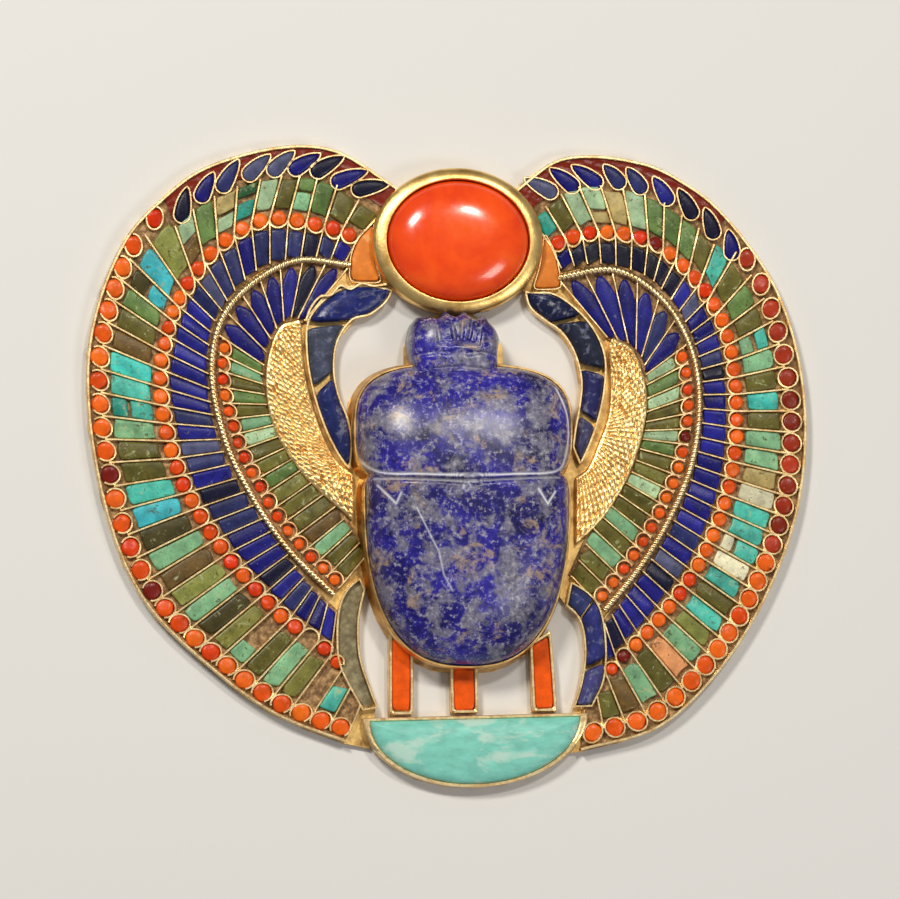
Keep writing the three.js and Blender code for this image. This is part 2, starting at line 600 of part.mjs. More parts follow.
function buildWing(wing, side, corner, covert, foreleg, hindLeg) {
  const put = (piece, geometry, material) => place(`${wing.name}_${piece}`, geometry, material);
  const wire = curve(wing.wire);
  const wireHalf = ROPE_WIDTH / 2;
  const legRoom = joined([foreleg, hindLeg].map((leg) => room(bandOutline(leg, LEG_OUTLINE_STEPS))));
  const besideLegs = middleKeepOut.add(legRoom);
  const besideCorner = besideLegs.add(room(grown(corner, middleOf(corner), CLEARANCE)));
  const wireRoom = toSolid(strip(wire, -wireHalf - CLEARANCE, wireHalf + CLEARANCE, WIRE_STEPS, 0, CUT_TOP));
  const covertRoom = room(bandOutline(covert, 2 * COVERT_ROWS));
  const keepOut = joined([besideCorner, wireRoom, covertRoom]);

  const rimStrip = strip(curve(wing.rim), 0, side * RIM_WIDTH, RIM_STEPS, FLOOR, RIM_TOP);
  put("wing_rim", trimmed(toSolid(rimStrip), middleKeepOut), GOLD);
  const wireStrip = strip(wire, -wireHalf, wireHalf, WIRE_STEPS, FLOOR, ROPE_TOP);
  put("beaded_wire", trimmed(toSolid(wireStrip), besideCorner), GOLD);
  put("corner_inlay", trimmed(toSolid(prism(corner, FLOOR, STONE_TOP)), besideLegs), ORANGE_STONE);
  put("covert", trimmed(toSolid(covertBody(covert)), besideLegs), SCALE_GOLD);

  const studs = (piece, lines, low, high, outlineBetween, material) =>
    put(piece, trimmed(studRow(lines, low, high, outlineBetween), keepOut), material);
  const bars = (piece, lines, low, high, pleated, material) =>
    put(piece, trimmed(barRow(lines, low, high, pleated), keepOut), material);

  const lines = outerLines(wing);
  const dropLines = lines.slice(1, wing.drops + 2);
  const shoulderLines = lines.slice(0, wing.drops + 2);
  const studLines = lines.slice(wing.drops + 1);
  const outerDisc = (a, b) =>
    discOutline(a, b, fromRim(OUTER_STUD_START + OUTER_STUD_RADIUS), OUTER_STUD_RADIUS);
  const secondDisc = (a, b) => discOutline(a, b, outOfRow(0), SECOND_STUD_RADIUS);
  const secondBed = SECOND_STUD_RADIUS + BED_MARGIN;
  studs("lapis_drops", dropLines, fromRim(DROP_END + BED_MARGIN), fromRim(DROP_BED_START), dropOutline,
    DEEP_LAPIS);
  studs("outer_discs", studLines, fromRim(OUTER_STUD_END + BED_MARGIN), fromRim(OUTER_STUD_START - CLEARANCE),
    outerDisc, CARNELIAN);
  bars("shoulder_bars", shoulderLines, outOfRow(BAR_TO_SECOND_ROW), fromRim(DROP_END + ROW_GAP), false,
    GREEN_STONE);
  bars("wing_bars", studLines, outOfRow(BAR_TO_SECOND_ROW), fromRim(OUTER_STUD_END + ROW_GAP), false,
    TURQUOISE);
  studs("second_discs", lines, intoRow(secondBed), outOfRow(secondBed), secondDisc, CARNELIAN);
  bars("lapis_bars", lines, fromInside(ROW_GAP), intoRow(BAR_TO_SECOND_ROW), true, LAPIS);

  const inner = innerLines(wing);
  const longLines = inner.slice(0, wing.longFeathers + 1);
  const shortLines = inner.slice(wing.longFeathers);
  const innerDisc = (a, b) =>
    discOutline(a, b, fromRim(INNER_STUD_START + INNER_STUD_RADIUS), INNER_STUD_RADIUS);
  bars("long_feathers", longLines, outOfRow(ROW_GAP), fromRim(INNER_STUD_START + CLEARANCE), true, LAPIS);
  studs("inner_discs", shortLines, fromRim(INNER_STUD_END + BED_MARGIN),
    fromRim(INNER_STUD_START - CLEARANCE), innerDisc, CARNELIAN);
  bars("inner_bars", shortLines, outOfRow(ROW_GAP), fromRim(INNER_STUD_END + ROW_GAP), true, GREEN_STONE);

  for (const [piece, leg] of [["foreleg", foreleg], ["hind_leg", hindLeg]]) {
    const tray = toSolid(prism(bandOutline(leg, LEG_OUTLINE_STEPS), FLOOR, LEG_PAD_TOP));
    put(`${piece}_cell`, trimmed(tray, middleKeepOut), GOLD);
    const segments = leg.joints.length - 1;
    for (let i = 0; i < segments; i++) {
      const inlay = toSolid(legInlay(leg, leg.joints[i], leg.joints[i + 1]));
      put(`${piece}_inlay_${i + 1}`, trimmed(inlay, middleKeepOut), LAPIS);
    }
  }
}

// The gold plate: every foot on it in one sheet, which leaves the openwork between them
const foot = (outline) => toSolid(prism(outline, 0, PLATE_TOP));

function lobe(wing, foreleg, hindLeg, ends) {
  const rim = curve(wing.rim).getPoints(RIM_STEPS).map(flat);
  const hind = curve(hindLeg.inner).getPoints(LEG_OUTLINE_STEPS).map(flat).reverse();
  const fore = curve(foreleg.inner).getPoints(LEG_OUTLINE_STEPS).map(flat).reverse();
  const [belowScarab, besideScarab, underDisc] = ends.middle;
  return foot([...rim, ends.basket, ...hind, belowScarab, besideScarab, ...fore, underDisc]);
}

const plate = joined([
  lobe(LEFT_WING, LEFT_FORELEG, LEFT_HIND_LEG, LEFT_PLATE_ENDS),
  lobe(RIGHT_WING, RIGHT_FORELEG, RIGHT_HIND_LEG, RIGHT_PLATE_ENDS),
  foot(discFoot),
  foot(grown(wingCases, WING_CASES.centre, BEZEL_FLARE)),
  foot(grown(thorax, THORAX.centre, BEZEL_FLARE)),
  foot(grown(head, HEAD.centre, HEAD_FOOT)),
  foot(basketOutline(0)),
  ...Object.values(STROKES).map(foot),
]);
place("back_plate", toGeometry(plate), GOLD);

buildWing(LEFT_WING, 1, LEFT_CORNER, LEFT_COVERT, LEFT_FORELEG, LEFT_HIND_LEG);
buildWing(RIGHT_WING, -1, RIGHT_CORNER, RIGHT_COVERT, RIGHT_FORELEG, RIGHT_HIND_LEG);

// The left hind leg has lost its stones: its bed lies bare
const bareBed = prism(bandOutline(LEFT_HIND_LEG, LEG_STEPS), LEG_PAD_TOP + SEAT, BARE_BED_TOP);
place("left_hind_leg_bare_bed", trimmed(toSolid(bareBed), middleKeepOut), BARE_BED);

// Sun disc
const ringSolid = toSolid(stacked([
  ringAt(discFoot, DISC_CENTRE, 1, FLOOR),
  ringAt(discFoot, DISC_CENTRE, 1, FLOOR + DISC_RING_FOOT_HEIGHT),
  discEdge.map((p) => [...mix(DISC_CENTRE, p, 1 + DISC_RING_LIP / DISC_STONE_EDGE[1]), DISC_RING_TOP]),
]));
const discHole = upright(discEdge, CLEARANCE, DISC_CENTRE);
place("disc_ring", toGeometry(ringSolid.subtract(discHole)), GOLD);
const discStone = domedStone(discEdge, DISC_CENTRE, FLOOR, DISC_STONE_SEAT, DISC_TOP, DISC_LEVELS);
place("sun_disc", discStone, CARNELIAN);

// Scarab in its flared bezel
const flared = (outline, centre, top) => toSolid(stacked([
  grown(outline, centre, BEZEL_FLARE).map((p) => [...p, FLOOR]),
  grown(outline, centre, BEZEL_RIM).map((p) => [...p, top]),
]));
const dome = (shape, outline, levels) =>
  toSolid(domedStone(outline, shape.centre, FLOOR, Math.min(BEZEL_TOP, shape.top - 1), shape.top, levels));
const bezelHole = joined([
  upright(wingCases, CLEARANCE, WING_CASES.centre),
  upright(thorax, CLEARANCE, THORAX.centre),
  upright(head, CLEARANCE, HEAD.centre),
]);
const bezel = flared(wingCases, WING_CASES.centre, BEZEL_TOP).add(flared(thorax, THORAX.centre, BEZEL_TOP));
place("scarab_bezel", toGeometry(bezel.subtract(bezelHole)), GOLD);

const teeth = [];
for (let i = 0; i < HEAD_TEETH.count; i++) {
  const x = HEAD.centre[0] + (i - (HEAD_TEETH.count - 1) / 2) * HEAD_TEETH.pitch;
  const outline = [[x - HEAD_TEETH.width / 2, HEAD_TEETH.from], [x + HEAD_TEETH.width / 2, HEAD_TEETH.from],
    [x, HEAD_TEETH.to]];
  teeth.push(toSolid(prism(outline, HEAD_TEETH.low, HEAD_TEETH.high)));
}
const scarab = joined([
  dome(WING_CASES, wingCases, DOME_LEVELS),
  dome(THORAX, thorax, DOME_LEVELS),
  dome(HEAD, head, DOME_LEVELS - 1),
  ...teeth,
]);
place("scarab", toGeometry(scarab), LAPIS);

// Basket and its stone
const basketCell = toSolid(prism(basketOutline(0), FLOOR, BASKET.top));
const basketRoom = toSolid(prism(basketOutline(BASKET.wall), 0, CUT_TOP));
place("basket_cell", toGeometry(basketCell.subtract(basketRoom)), GOLD);
const basketStone = basketOutline(BASKET.wall + CLEARANCE);
const basketMiddle = mix(BASKET.left, BASKET.right, 0.5);
const basketHeart = [basketMiddle[0], basketMiddle[1] - BASKET.depth * BASKET_STONE.heart];
place("basket_inlay",
  domedStone(basketStone, basketHeart, FLOOR, BASKET_STONE.seat, BASKET_STONE.top, 2), TURQUOISE);

// Strokes: a tray of gold and a bar of stone each, cut back from the bezel and the basket
const narrowed = (outline, by) =>
  outline.map(([x, y], corner) => [x + (corner === 0 || corner === 3 ? by : -by), y]);
for (const [name, outline] of Object.entries(STROKES)) {
  const tray = toSolid(prism(outline, FLOOR, STROKE_TOP));
  const room = toSolid(prism(narrowed(outline, STROKE_WALL), STROKE_BED_TOP, CUT_TOP));
  const bar = toSolid(prism(narrowed(outline, STROKE_WALL + CLEARANCE), STROKE_BED_TOP + SEAT, STROKE_TOP));
  place(`${name}_stroke_cell`, toGeometry(tray.subtract(room).subtract(middleKeepOut)), GOLD);
  place(`${name}_stroke_inlay`, toGeometry(bar.subtract(middleKeepOut)), CARNELIAN);
}

export default jewel;
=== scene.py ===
"""A winged scarab pectoral as it lies on its back: thin gold strips stand on edge on a gold plate,
and cut stones sit in mastic between them. Sizes are in millimetres until a mesh is made, +X is
across the wings, +Y is towards the disc, and heights are above the floor under the plate."""

import math

import bpy
import numpy as np
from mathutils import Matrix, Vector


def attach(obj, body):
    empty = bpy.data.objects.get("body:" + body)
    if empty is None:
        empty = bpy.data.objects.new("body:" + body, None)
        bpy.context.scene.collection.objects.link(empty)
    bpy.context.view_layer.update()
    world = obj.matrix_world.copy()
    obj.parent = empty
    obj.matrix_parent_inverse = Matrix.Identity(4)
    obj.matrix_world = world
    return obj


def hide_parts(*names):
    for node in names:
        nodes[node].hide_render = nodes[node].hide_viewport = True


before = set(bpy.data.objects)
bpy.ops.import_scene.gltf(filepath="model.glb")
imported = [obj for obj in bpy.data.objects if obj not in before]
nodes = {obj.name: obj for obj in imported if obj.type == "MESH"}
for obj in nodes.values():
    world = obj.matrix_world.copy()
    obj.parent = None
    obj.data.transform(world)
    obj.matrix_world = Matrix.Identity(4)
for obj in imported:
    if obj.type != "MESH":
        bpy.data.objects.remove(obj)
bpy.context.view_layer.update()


# THE BACK PLATE
# One sheet of gold, sawn through between the legs. Everything else is soldered to its face.
# The imported plate stays as it is and gets a worn gold of its own, made like that of the strips.

def shade(tree, kind, inputs=None, **settings):
    """One shader node: values go on its sockets, and a socket given as a value is linked."""
    made = tree.nodes.new("ShaderNode" + kind)
    for key, value in settings.items():
        setattr(made, key, value)
    for key, value in (inputs or {}).items():
        if isinstance(value, bpy.types.NodeSocket):
            tree.links.new(value, made.inputs[key])
        else:
            made.inputs[key].default_value = value
    return made


def ramp(tree, factor, *stops):
    """A colour that runs through the stops, each a place from 0 to 1 and a colour or a grey."""
    made = shade(tree, "ValToRGB", {"Fac": factor})
    rows = made.color_ramp.elements
    while len(rows) < len(stops):
        rows.new(0.5)
    for row, (place, colour) in zip(rows, stops):
        row.position = place
        row.color = (*colour, 1) if isinstance(colour, tuple) else (colour, colour, colour, 1)
    return made.outputs["Color"]


def finish_tree(name):
    """A new material with its own node tree and a surface shader: (material, tree, shader)."""
    material = bpy.data.materials.new(name)
    material.use_nodes = True
    return material, material.node_tree, material.node_tree.nodes["Principled BSDF"]


def grainy(tree, size, detail=4.0, rough=0.55, stretch=(1, 1, 1), turn=0.0, warp=0.0):
    """Noise in the piece's own space whose lumps are about `size` millimetres across."""
    place = shade(tree, "TexCoord").outputs["Object"]
    laid = shade(tree, "Mapping", {"Vector": place, "Scale": stretch, "Rotation": (0, 0, turn)})
    return shade(tree, "TexNoise", {
        "Vector": laid.outputs["Vector"], "Scale": 1000 / size, "Detail": detail,
        "Roughness": rough, "Distortion": warp,
    }).outputs["Fac"]


def mixed(tree, factor, a, b, how="MIX"):
    """Two colours mixed by a factor."""
    made = shade(tree, "Mix", data_type="RGBA", blend_type=how)
    for key, value in ((0, factor), (6, a), (7, b)):
        if isinstance(value, bpy.types.NodeSocket):
            tree.links.new(value, made.inputs[key])
        elif key:
            made.inputs[key].default_value = (*value, 1)
        else:
            made.inputs[key].default_value = value
    return made.outputs[2]


def dress(tree, surface, colour, relief, rough):
    """Joins to a surface its colour, its relief (a height, its strength and its depth in metres)
    and its roughness (one number, or a factor and the two ends of its range)."""
    height, strength, depth = relief
    dents = shade(tree, "Bump", {"Height": height, "Strength": strength, "Distance": depth})
    tree.links.new(colour, surface.inputs["Base Color"])
    tree.links.new(dents.outputs["Normal"], surface.inputs["Normal"])
    if isinstance(rough, tuple):
        polish = shade(tree, "MapRange", {"Value": rough[0], "To Min": rough[1], "To Max": rough[2]})
        tree.links.new(polish.outputs["Result"], surface.inputs["Roughness"])
    else:
        surface.inputs["Roughness"].default_value = rough
    return dents.outputs["Normal"]


def worn_gold(name, bright, dull, lowest, highest, lump, scratch=0.35):
    """Gold whose colour runs from dull in the hollows of a noise to bright, with a roughness that
    follows a finer noise, small dents as bump, and long thin scratches across them."""
    material, tree, surface = finish_tree(name)
    cloud = grainy(tree, lump, detail=6)
    fine = grainy(tree, 0.45, detail=3)
    lines = grainy(tree, 0.5, detail=2, stretch=(6, 0.5, 1), turn=0.7)
    colour = ramp(tree, cloud, (0.33, dull), (0.56, bright))
    dents = dress(tree, surface, colour, (fine, 0.35, 0.00005), (fine, lowest, highest))
    cuts = shade(tree, "Bump", {"Height": lines, "Strength": scratch, "Distance": 0.00003,
                                "Normal": dents})
    tree.links.new(cuts.outputs["Normal"], surface.inputs["Normal"])
    surface.inputs["Metallic"].default_value = 1
    return material


plate_gold = worn_gold("plate_gold", (0.83, 0.55, 0.2), (0.3, 0.16, 0.05), 0.25, 0.6, 3.0)
nodes["back_plate"].data.materials.clear()
nodes["back_plate"].data.materials.append(plate_gold)


# THE WING RIMS
# A strip of thick gold stands on edge round each wing, from the disc to the basket. It hides the
# sawn edge of the plate. Each wing's other lines are drawn inside it, column by column.

SHELF = 1.0                # the level of the plate's face
COLUMNS = 38               # columns of cells in an outer wing
RIM = {"width": 0.55, "foot": 0.04, "top": 2.35, "inset": 0.1, "soft": 0.1, "stations": 260}
wings = {
    "left": {
        "rim": [(-6.7, 40.0), (-16.6, 45.8), (-24.3, 46.2), (-35.8, 42.8), (-41.2, 38.8), (-47.2, 32.0),
                (-52.2, 16.8), (-50.7, -2.8), (-44.5, -19.3), (-33.2, -30.6), (-24.8, -36.3),
                (-15.0, -40.1)],
        "studs": [(-13.1, 33.0), (-19.3, 34.9), (-27.2, 35.3), (-34.3, 30.7), (-37.0, 27.1),
                  (-39.2, 23.6), (-41.8, 12.9), (-39.2, -1.2), (-33.1, -11.9), (-24.1, -22.0),
                  (-17.6, -26.9), (-12.5, -33.9)],
        "inside": [(-15.0, 29.5), (-20.3, 30.0), (-26.9, 28.7), (-31.5, 24.5), (-32.9, 22.2),
                   (-34.4, 19.6), (-34.7, 10.3), (-32.1, 0.4), (-26.4, -8.7), (-20.2, -17.2),
                   (-16.7, -20.9), (-11.9, -25.2)],
        "wire": [(-14.3, 29.0), (-22.1, 29.5), (-28.7, 25.9), (-32.8, 21.0), (-34.3, 13.8),
                 (-32.4, 3.6), (-28.3, -4.9), (-23.2, -12.2), (-16.6, -18.7)],
        "covert_edge": [(-20.9, 20.9), (-23.1, 21.3), (-25.4, 19.1), (-26.6, 15.6), (-27.0, 11.6),
                        (-25.4, 5.5), (-21.8, -0.6), (-16.0, -6.7), (-11.9, -13.0)],
        "drops": [(-13.0, 40.0, -8.9, 41.1), (-16.0, 41.1, -12.1, 42.9), (-19.0, 42.6, -15.6, 44.9),
                  (-22.2, 42.9, -19.0, 45.2), (-25.3, 42.7, -22.8, 45.5), (-28.9, 42.0, -26.3, 44.9),
                  (-32.7, 40.3, -30.9, 44.0), (-35.8, 38.8, -34.5, 42.1), (-38.7, 35.9, -38.3, 39.8)],
        "inwards": 1, "feathers": 7, "rings_closed": False,
        "disc_depth": 1.95, "shift": 0.5, "discs_from": 10,
    },
    "right": {
        "rim": [(9.2, 40.0), (16.6, 45.1), (28.5, 44.6), (35.0, 41.6), (39.9, 37.8), (48.2, 26.4),
                (52.2, 11.7), (51.5, -4.5), (46.3, -19.0), (38.2, -31.1), (30.3, -37.9),
                (19.3, -41.1)],
        "studs": [(14.8, 32.3), (21.5, 34.3), (29.3, 33.2), (33.4, 30.4), (36.4, 27.4), (40.5, 20.6),
                  (42.1, 10.7), (41.3, -1.4), (37.0, -13.2), (29.9, -22.9), (24.7, -28.1),
                  (19.8, -33.9)],
        "inside": [(16.4, 29.0), (21.9, 29.8), (28.7, 28.1), (31.2, 26.1), (33.5, 23.3), (36.1, 18.1),
                   (37.3, 10.6), (36.0, 0.4), (31.8, -9.7), (25.9, -18.4), (22.8, -22.6),
                   (18.8, -26.6)],
        "wire": [(15.9, 27.5), (24.4, 28.7), (31.2, 24.6), (35.4, 17.5), (36.6, 10.3), (35.7, 1.7),
                 (32.8, -6.1), (27.9, -14.3), (22.7, -20.7)],
        "covert_edge": [(23.1, 19.0), (26.4, 18.1), (28.3, 16.1), (28.9, 13.3), (29.0, 7.8),
                        (28.2, 3.3), (26.0, -2.2), (21.5, -8.4), (17.9, -15.8)],
        "drops": [(14.8, 40.1, 11.4, 42.1), (18.0, 41.0, 15.1, 43.6), (21.4, 41.6, 18.3, 44.1),
                  (24.8, 41.7, 23.0, 44.2), (28.0, 41.0, 26.4, 43.8), (31.9, 39.4, 30.3, 42.5),
                  (35.5, 37.4, 34.0, 40.8), (38.7, 34.6, 37.9, 38.0), (41.5, 31.6, 41.3, 34.8)],
        "inwards": -1, "feathers": 6, "rings_closed": True,
        "disc_depth": 2.3, "shift": 0.0, "discs_from": 11,
    },
}


def guide(places):
    """A smooth line through places, as a function of its share from 0 to 1: a cubic between each
    two places, whose slopes weigh the gaps on both sides by the square root of their lengths."""
    p = np.asarray(places, float)
    p = np.vstack([2 * p[0] - p[1], p, 2 * p[-1] - p[-2]])
    a, b, c, d = p[:-3], p[1:-2], p[2:-1], p[3:]
    before, here, after = (np.linalg.norm(v - u, axis=1)[:, None] ** 0.5
                           for u, v in ((a, b), (b, c), (c, d)))
    leave = ((b - a) / before - (c - a) / (before + here) + (c - b) / here) * here
    arrive = ((c - b) / here - (d - b) / (here + after) + (d - c) / after) * here
    second = -3 * b + 3 * c - 2 * leave - arrive
    third = 2 * b - 2 * c + leave + arrive

    def line(share):
        """Places on the curve: the cubic of the step that each share falls in."""
        run = np.asarray(share, float) * len(b)
        step = np.clip(np.floor(run), 0, len(b) - 1).astype(int)
        w = (run - step)[..., None]
        return b[step] + w * (leave[step] + w * (second[step] + w * third[step]))

    return line


def distances(path):
    """How far along a path each of its places lies."""
    return np.r_[0, np.cumsum(np.linalg.norm(np.diff(path, axis=0), axis=1))]


def evenly(line, shares):
    """Where on a line the given shares of its length lie."""
    fine = np.linspace(0, 1, 1501)
    run = distances(line(fine))
    return np.interp(shares, run / run[-1], fine)


def sideways(path, closed=False):
    """The unit normal to the left of each place of a path, or of many paths at once."""
    if closed:
        ahead = np.roll(path, -1, axis=-2) - np.roll(path, 1, axis=-2)
    else:
        ahead = np.gradient(path, axis=-2)
    ahead = ahead / np.linalg.norm(ahead, axis=-1, keepdims=True)
    return np.stack([-ahead[..., 1], ahead[..., 0]], -1)


def raised(flat, height):
    """Places in the plane lifted to a height each, or all to one."""
    height = np.broadcast_to(height, flat.shape[:-1])
    return np.concatenate([flat, height[..., None]], -1)


def carried(path, profile, closed=False):
    """Rings of a profile carried along paths in the plane. Each profile point is a distance to
    the left of the path and a height, and may differ from station to station."""
    path = np.asarray(path, float)
    profile = np.asarray(profile, float)
    across = profile[..., 0][..., None] * sideways(path, closed)[..., None, :]
    return raised(path[..., None, :] + across, profile[..., 1])


def strip_profile(outer, inner, foot, top, soft=0.07):
    """The section of a strip on edge, with softened upper edges."""
    return [(inner, foot), (inner, top - soft), (inner - soft, top), (outer + soft, top),
            (outer, top - soft), (outer, foot)]


def shells(name, rings, loop=False, smooth=38, **values):
    """A mesh of closed shells, one for each stack of rings (shells, rings, points, 3). Each ring
    is joined to the next. The end rings are closed by a face, or joined to each other in a loop.
    A shell whose volume comes out below nought is turned, so all faces point outwards. Values
    are kept on the points, one for each shell or one for each point."""
    rings = np.asarray(rings, float)
    rings = rings[None] if rings.ndim == 3 else rings
    count, tall, round_, _ = rings.shape

    def walls(grid):
        """The four corners of each face between a ring and the next, from a grid of numbers."""
        up = np.roll(grid, -1, axis=1) if loop else grid[:, 1:]
        low = grid if loop else grid[:, :-1]
        return np.stack([low, np.roll(low, -1, axis=2), np.roll(up, -1, axis=2), up], -1)

    index = np.arange(count * tall * round_).reshape(count, tall, round_)
    sides = walls(index)
    centred = (rings - rings.mean((1, 2), keepdims=True)).reshape(-1, 3)
    a, b, c, d = (centred[sides[..., k]] for k in range(4))
    volume = (a * np.cross(b, c) + a * np.cross(c, d)).sum((1, 2, 3))
    if not loop:
        for end, sign in ((index[:, 0], -1), (index[:, -1], 1)):
            first, second, third = centred[end[:, :1]], centred[end[:, 1:-1]], centred[end[:, 2:]]
            volume += sign * (first * np.cross(second, third)).sum((1, 2))
    index = np.where((volume < 0)[:, None, None], index[:, :, ::-1], index)
    faces = walls(index).reshape(-1, 4).tolist()
    if not loop:
        faces += index[:, 0, ::-1].tolist() + index[:, -1].tolist()
    mesh = bpy.data.meshes.new(name)
    mesh.from_pydata((rings.reshape(-1, 3) / 1000).tolist(), [], faces)
    mesh.update()
    mesh.shade_smooth()
    mesh.set_sharp_from_angle(angle=math.radians(smooth))
    for key, value in values.items():
        value = np.asarray(value, float)
        if value.shape[:2] != (count, tall):
            value = np.broadcast_to(value[:, None, None], (count, tall, round_) + value.shape[1:])
        wide = value.reshape(count * tall * round_, -1)
        kind = "FLOAT_COLOR" if wide.shape[1] == 3 else "FLOAT"
        layer = mesh.attributes.new(key, kind, "POINT")
        if kind == "FLOAT_COLOR":
            wide = np.c_[wide, np.ones(len(wide))]
            layer.data.foreach_set("color", wide.ravel())
        else:
            layer.data.foreach_set("value", wide.ravel())
    return mesh


def fit(mesh, finish, slot, *stands_for):
    """A finished piece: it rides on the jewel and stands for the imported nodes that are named."""
    piece = bpy.data.objects.new(mesh.name, mesh)
    bpy.context.scene.collection.objects.link(piece)
    mesh.materials.append(finish)
    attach(piece, "root")
    if stands_for:
        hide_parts(*stands_for)
    return piece


strip_gold = worn_gold("strip_gold", (1.0, 0.78, 0.42), (0.78, 0.5, 0.2), 0.22, 0.44, 1.8)
for side, wing in wings.items():
    for line in ("rim", "studs", "inside", "wire", "covert_edge"):
        wing[line] = guide(wing[line])
    path = wing["rim"](evenly(wing["rim"], np.linspace(0, 1, RIM["stations"])))
    section = np.array(strip_profile(RIM["inset"], RIM["width"], RIM["foot"], RIM["top"], RIM["soft"]))
    rings = carried(path, section * [wing["inwards"], 1])
    fit(shells(f"{side}_rim_strip", rings), strip_gold, "gold", f"{side}_wing_rim")


# THE LEG CELLS
# Gold strips that stand round each foreleg and hind leg and hold its stones. They run down past
# the sawn edges of the plate. The wings' rows of stones stop short of them.

legs = {
    "left_foreleg": {
        "outer": [(-9.1, 25.6), (-14.3, 25.8), (-17.5, 24.3), (-20.3, 20.9), (-20.6, 16.8),
                  (-19.8, 11.3), (-17.9, 5.4), (-16.0, 1.6), (-14.4, -0.6)],
        "inner": [(-8.3, 25.3), (-9.1, 23.8), (-11.4, 21.9), (-14.0, 21.1), (-16.2, 17.9),
                  (-16.7, 13.6), (-16.0, 10.0), (-14.6, 6.4), (-14.1, 3.2)],
        "joints": [0, 0.4, 0.64, 1],
        "tints": [(0.015, 0.022, 0.13), (0.06, 0.07, 0.11), (0.018, 0.025, 0.12)],
    },
    "right_foreleg": {
        "outer": [(11.8, 25.2), (15.1, 25.2), (18.6, 23.0), (21.4, 19.7), (22.8, 16.0), (22.7, 11.5),
                  (21.8, 7.1), (20.6, 3.6), (19.2, 0.5)],
        "inner": [(11.2, 25.5), (11.9, 23.2), (14.0, 21.4), (16.4, 19.7), (18.4, 16.6), (19.4, 12.6),
                  (19.1, 8.8), (18.5, 5.4), (18.2, 3.0)],
        "joints": [0, 0.3, 0.56, 0.78, 1],
        "tints": [(0.012, 0.015, 0.05), (0.02, 0.024, 0.045), (0.022, 0.022, 0.1), (0.05, 0.05, 0.12)],
    },
    "left_hind_leg": {
        "outer": [(-12.9, -16.4), (-14.6, -18.0), (-15.7, -20.3), (-16.1, -25.2), (-15.7, -28.8),
                  (-12.4, -35.3)],
        "inner": [(-12.2, -18.0), (-12.7, -20.0), (-13.1, -22.6), (-13.1, -25.5), (-12.7, -28.4),
                  (-10.4, -34.9)],
        "joints": [0, 1],
    },
    "right_hind_leg": {
        "outer": [(17.9, -16.7), (20.5, -18.4), (21.9, -20.3), (22.8, -25.0), (22.5, -30.7),
                  (20.8, -34.5)],
        "inner": [(17.2, -20.0), (18.7, -21.4), (19.5, -23.2), (19.9, -27.0), (19.3, -31.4),
                  (18.3, -34.6)],
        "joints": [0, 0.28, 0.7, 1],
        "tints": [(0.03, 0.04, 0.13), (0.03, 0.035, 0.17), (0.06, 0.06, 0.2)],
    },
}
LEG_WALL = {"half": 0.17, "foot": 0.04, "top": 2.3, "soft": 0.06}


def band_edge(band, steps):
    """The closed outline between a band's outer and inner lines."""
    shares = np.linspace(0, 1, steps)
    return np.vstack([band["outer"](shares), band["inner"](shares[::-1])])


for name, leg in legs.items():
    leg["outer"], leg["inner"] = guide(leg["outer"]), guide(leg["inner"])
    half = LEG_WALL["half"]
    section = strip_profile(-half, half, LEG_WALL["foot"], LEG_WALL["top"], LEG_WALL["soft"])
    rings = carried(band_edge(leg, 60), section, closed=True)
    fit(shells(f"{name}_walls", rings, loop=True), strip_gold, "gold", f"{name}_cell")


# THE MASTIC
# A brown cement fills the wings' cells under the stones and shows round their ends and where a
# stone is lost. It is one uneven layer in each outer wing and one in each inner wing.

BED = {"low": 0.98, "level": 1.5, "rough": 0.16}
SHORT_BARS = 17            # short bars in an inner wing
LONG_SHARE = 0.36          # how much of the wire the long feathers before them take
random = np.random.default_rng(14)
waves = random.normal(size=(28, 2))
waves *= (random.uniform(0.6, 2.6, 28) / np.linalg.norm(waves, axis=1))[:, None]
phases = random.uniform(0, 2 * np.pi, 28)


def lumps(places, size=2.5):
    """An uneven height from about -1 to 1: the sum of many plane waves of random direction."""
    return np.cos(places @ (waves.T * 2 * np.pi / size) + phases).sum(-1) / 7


def column_line(wing, column):
    """The three places of a column's line, at the rim, at the second discs and at the wire, and
    its two lengths. Round the tenth column the columns are shifted by a bell-shaped amount."""
    column = np.asarray(column, float)
    column = column + wing["shift"] * np.exp(-(((column - 10) / 3.2) ** 2))
    t = evenly(wing["studs"], column / COLUMNS)
    rim, row, inside = wing["rim"](t), wing["studs"](t), wing["inside"](t)
    return rim, row, inside, np.linalg.norm(row - rim, axis=-1), np.linalg.norm(inside - row, axis=-1)


def outer_place(wing, column, depth):
    """A place in the outer wing: its column, counted from the disc, and its depth in mm from the
    rim's edge, down a straight line to the row of discs and on down another to the wire."""
    column, depth = np.broadcast_arrays(column, depth)
    rim, row, inside, first, second = column_line(wing, column)
    share = np.minimum(depth / first, 1)[..., None]
    rest = (np.maximum(depth - first, 0) / second)[..., None]
    return rim + (row - rim) * share + (inside - row) * rest


def row_depth(wing, column):
    """How deep the row of second discs lies, and how deep the wire."""
    first, second = column_line(wing, column)[3:]
    return first, first + second


def inner_place(wing, column, depth):
    """A place in the inner wing: its column, long feathers first, and its depth from the wire in
    mm down a straight line to the covert."""
    column, depth = np.broadcast_arrays(column, depth)
    wire, edge = inner_line(wing, column)
    length = np.linalg.norm(edge - wire, axis=-1)
    return wire + (edge - wire) * (depth / length)[..., None]


